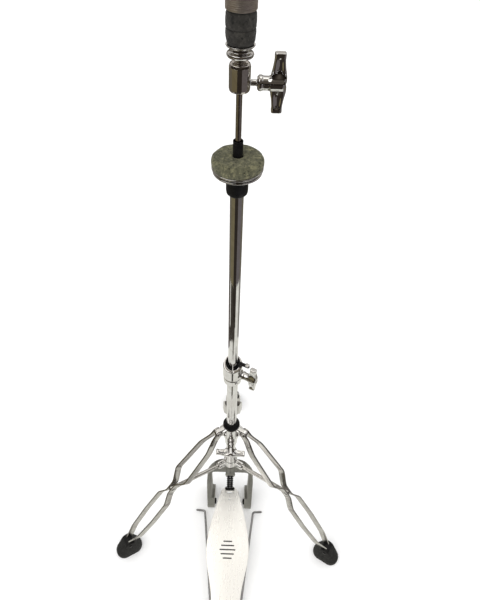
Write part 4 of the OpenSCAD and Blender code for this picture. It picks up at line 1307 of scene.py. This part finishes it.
def build_chain():
    pitch, lean = chain_geometry()
    place = shift(0, 0, CLEVIS_PIN_Z) @ turn(-lean, "X")
    strand = 3.2
    links, rollers = [], []
    for i in range(CHAIN_N):
        upper = 2.06 if i == 0 else 1.2
        lower = 2.0 if i == CHAIN_N - 1 else 1.2
        outer = (-strand - 2, -strand + 2, strand - 2, strand + 2)
        for x in outer if i % 2 == 0 else (-6.3, 0, 6.3):
            links.append(link(pitch, upper, lower).moved(place, shift(x, 0, -i * pitch), SIDEWAYS))
    for i in range(CHAIN_N + 1):
        end = i in (0, CHAIN_N)
        bore = 2.06 if i == 0 else 2.0 if end else 1.17
        r = 2.9 if end else 2.4
        at = place @ shift(0, 0, -i * pitch)
        rollers += [
            turned([(bore, -1.5), (r, -1.5, 0.4), (r, 1.5, 0.4), (bore, 1.5)], 28)
            .moved(at, shift(s * strand), ALONG_X)
            for s in (1, -1)
        ]
        if not end:
            rollers.append(two_headed(1.15, 14, 1.45, 0.6, 24).moved(at, ALONG_X))
    piece("chain_link_plates", joined(links), M["black_steel"], "chain_links")
    piece("chain_roller_set", joined(rollers), M["black_steel"], "chain_rollers")
    piece("clevis_forged", cast_mesh("clevis", "clevis", 0.32, 8), M["clevis_steel"], "clevis")
    pin = two_headed(2, 19.6, 3.2, 1.5, 40).moved(shift(0, 0, CLEVIS_PIN_Z), ALONG_X)
    piece("clevis_pin_headed", pin, M["clevis_steel"], "clevis_pin")


# ---- cymbal seat -----------------------------------------------------------

FELT_R = radius("seat_felt")
TILT_Y = 20


def build_seat():
    h = reaching("seat_base")
    shell = UPPER_R + 0.02
    spun("seat_base", [
        (shell, 0, 0.3), (10.0, 0, 1.0), (12.1, 2.4, 1.6), (12.6, 6, 2), (12.6, h, 0.7),
        (ROD_R + 1.2, h), (ROD_R + 1.2, h - 4), (shell, h - 4),
    ], M["black_plastic"])
    low, high = heights("seat_disc")
    top = low + 7
    rim = FELT_R - 1.6
    disc = turned([
        (9, low), (14, low, 1), (24, low + 3.6, 3), (rim, low + 5.2, 0.9), (rim, top, 0.9), (9, top),
    ], 128, 6)
    ridge = [rod(1.3, -6, 6, 0.3, 32).moved(shift(s * 17, 0, top), ALONG_X) for s in (1, -1)]
    hole = rod(2.56, low - 5, top + 5).moved(shift(0, TILT_Y))
    piece("seat_disc_turned", cut(disc.add(*ridge), hole), M["chrome"], "seat_disc")
    low, high = heights("tilt_screw")
    shank = rod(2.5, low + 9, high, 0.3, 32)
    knob = knurled(5, low, low + 10)
    screw = joined([shank, knob]).moved(shift(0, TILT_Y))
    piece("tilt_screw_knurled", screw, M["chrome"], "tilt_screw")
    low, high = heights("seat_cup")
    floor = low + 4.8
    bore = 5.22
    rim = FELT_R - 0.4
    cup = turned([
        (bore, low), (8, low, 0.4), (8.4, floor), (rim - 2.2, floor, 0.8), (rim, floor + 0.9, 0.9),
        (rim, high, 0.7), (rim - 1.6, high, 0.4), (rim - 2.0, high - 0.9), (bore, high - 0.9),
    ], 128, 5)
    piece("seat_cup_turned", cup, M["chrome"], "seat_cup")
    felt_low, felt_top = heights("seat_felt")
    low, high = heights("seat_sleeve")
    bore = ROD_R + 1.45
    sleeve = turned([
        (bore, low), (5.2, low, 0.3), (5.2, felt_top + 0.3), (5.5, felt_top + 0.3),
        (5.5, high - 3.4, 0.2),
        (5.15, high - 3.0, 0.2), (5.15, high - 2.4, 0.2), (5.5, high - 2.0, 0.3),
        (5.5, high, 0.6), (bore, high, 0.4),
    ], 64)
    piece("seat_sleeve_turned", sleeve, M["black_plastic"], "seat_sleeve")
    build_seat_felt(felt_low, felt_top)


def knurled(r, low, high, ribs=36):
    """Thumb wheel with straight ribs."""
    shape = turned([(0, low), (r - 0.4, low, 0.3), (r, low + 0.8),
                    (r, high - 0.8), (r - 0.4, high, 0.3), (0, high)],
                   ribs * 4)
    for v in shape.verts:
        reach = math.hypot(v.x, v.y)
        if reach > r - 0.1:
            dip = 0.28 * (0.5 + 0.5 * math.cos(ribs * math.atan2(v.y, v.x)))
            v.x *= 1 - dip / reach
            v.y *= 1 - dip / reach
    return shape


def dense(corners, step):
    """Closed outline with its sides divided into steps no longer than step."""
    out = []
    for a, b in zip(corners, corners[1:] + corners[:1]):
        n = max(1, math.ceil((b - a).length / step))
        out += [a.lerp(b, k / n) for k in range(n)]
    return out


def build_seat_felt(low, top):
    """Pressed felt disc, pillowed at its rim and worn hollow in places."""
    bore = 5.62
    r = FELT_R
    outline = rounded([
        (bore, low, 0.4), (r - 0.9, low, 1.6), (r - 0.1, low + 4, 3), (r - 0.15, top - 4.2, 4),
        (r - 4.5, top - 0.35, 5), (r - 14, top - 0.1, 6),
        (bore + 1.2, top - 0.25, 1), (bore, top - 1, 0.5),
    ], 6)
    shape = lathe(dense(outline, 0.62), 260)
    mesh = mesh_from(shape, "seat_felt_pressed")
    tidy_mesh(mesh)
    roughened(mesh, 0.42, 0.13, 1)
    roughened(mesh, 0.16, 0.75, 2)
    keep_above(mesh, low)
    piece("seat_felt_pressed", mesh, M["seat_felt"], "seat_felt", sharp=80)


def keep_above(mesh, low):
    """Presses the underside flat where it rests."""
    for v in mesh.vertices:
        v.co.z = max(v.co.z, low * MM)


# ---- clutch ----------------------------------------------------------------

CLUTCH_BORE = ROD_R + 0.15
THREAD_R = 5.6


def build_clutch():
    h = reaching("clutch_body")
    spun("clutch_body", [
        (CLUTCH_BORE, 0, 0.3), (7.4, 0, 1.0), (9.6, 0.9, 1.0), (10.3, 3.2, 2), (10.3, h - 3.6, 2.2),
        (9.6, h - 1.2, 1.2), (7.6, h, 1.2), (CLUTCH_BORE, h, 0.3),
    ], M["chrome_painted_dim_reflection"], 144)
    build_sleeve()
    h = reaching("clutch_lock_nut")
    bore = THREAD_R + 0.06
    spun("clutch_lock_nut", [
        (bore, 0), (8.2, 0, 0.8), (11.8, 1.5, 1.2), (12.8, 3.2, 1.1), (12.2, 4.9, 1.0), (8.9, 6.0, 1.8),
        (8.6, h, 0.5), (bore, h),
    ], M["chrome"], 144)
    h = reaching("clutch_washer")
    bore = THREAD_R + 0.05
    spun("clutch_washer", [
        (bore, 0), (9.6, 0, 1.2), (12.8, 1.7, 1.4), (13.6, h - 0.6, 0.5), (13.3, h, 0.3), (bore, h),
    ], M["chrome"], 144)
    build_clutch_nut()
    build_clutch_felts()


def build_sleeve():
    """Threaded sleeve; the grooves stand for its thread."""
    low, high = heights("clutch_sleeve")
    pitch = 1.0
    outline = [(CLUTCH_BORE, low), (THREAD_R - 0.3, low)]
    z = low + 0.3
    while z < high - 1.2:
        outline += [(THREAD_R, z + 0.25), (THREAD_R, z + 0.4)]
        outline += [(THREAD_R - 0.42, z + 0.75), (THREAD_R - 0.42, z + 0.85)]
        z += pitch
    outline += [(THREAD_R - 0.4, high - 0.4), (THREAD_R - 0.8, high), (CLUTCH_BORE, high)]
    piece("clutch_sleeve_threaded", lathe(outline, 72), M["chrome_painted_dim_reflection"], "clutch_sleeve")


def build_clutch_nut():
    h = reaching("clutch_nut")
    r = radius("clutch_nut")
    bore = THREAD_R + 0.06
    corners = [(bore, 0), (r - 1.2, 0, 0.7), (r - 0.1, 0.9, 0.5)]
    z = 1.7
    while z < h - 4.6:
        corners += [(r, z, 0.15), (r, z + 0.9, 0.15)]
        corners += [(r - 0.45, z + 1.1, 0.1), (r - 0.45, z + 1.35, 0.1)]
        z += 1.55
    corners += [(r, z, 0.2), (r, h - 2.6, 1.2), (r - 1.7, h - 0.7, 1.2), (r - 5, h, 2), (bore, h, 0.4)]
    spun("clutch_nut", corners, M["nut_steel"], 144)


def build_clutch_felts():
    """Two pressed felts; the lower one tapers into the washer."""
    low, high = heights("clutch_felts")
    r = radius("clutch_felts")
    bore = THREAD_R + 0.17
    middle = (low + high) / 2
    lower = [
        (bore, low), (r - 2.1, low, 1.2), (r - 0.75, low + 3.2, 2.5), (r - 0.1, middle - 4.5, 4),
        (r - 0.15, middle - 0.9, 0.7), (r - 0.9, middle - 0.06, 0.5), (bore, middle - 0.06),
    ]
    upper = [
        (bore, middle + 0.06), (r - 0.9, middle + 0.06, 0.5),
        (r - 0.1, middle + 1, 0.7), (r, middle + 6, 3),
        (r - 0.35, high - 2.2, 2), (r - 1.4, high, 1.1), (bore, high),
    ]
    halves = [lathe(dense(rounded(c, 5), 0.6), 200) for c in (lower, upper)]
    mesh = mesh_from(joined(halves), "clutch_felt_pair")
    tidy_mesh(mesh)
    roughened(mesh, 0.22, 0.16, 4)
    roughened(mesh, 0.12, 0.8, 5)
    piece("clutch_felt_pair", mesh, M["clutch_felt"], "clutch_felts", sharp=80)


# ---- parts kept as packed, hidden inside the column ------------------------


def paint_kept_parts():
    for node, mat in (
        ("return_spring", "spring_steel"), ("spring_collar", "spring_steel"),
        ("spring_seat", "black_plastic"),
    ):
        frame["nodes"][node].material_slots[0].material = M[mat]


build_tubes()
build_height_clamp()
build_wings()
build_legs()
build_hub()
build_collar()
build_base()
build_heel()
build_rods()
build_board()
build_chain()
build_seat()
build_clutch()
paint_kept_parts()


def plain(bounds):
    return [[float(x) for x in corner] for corner in bounds]
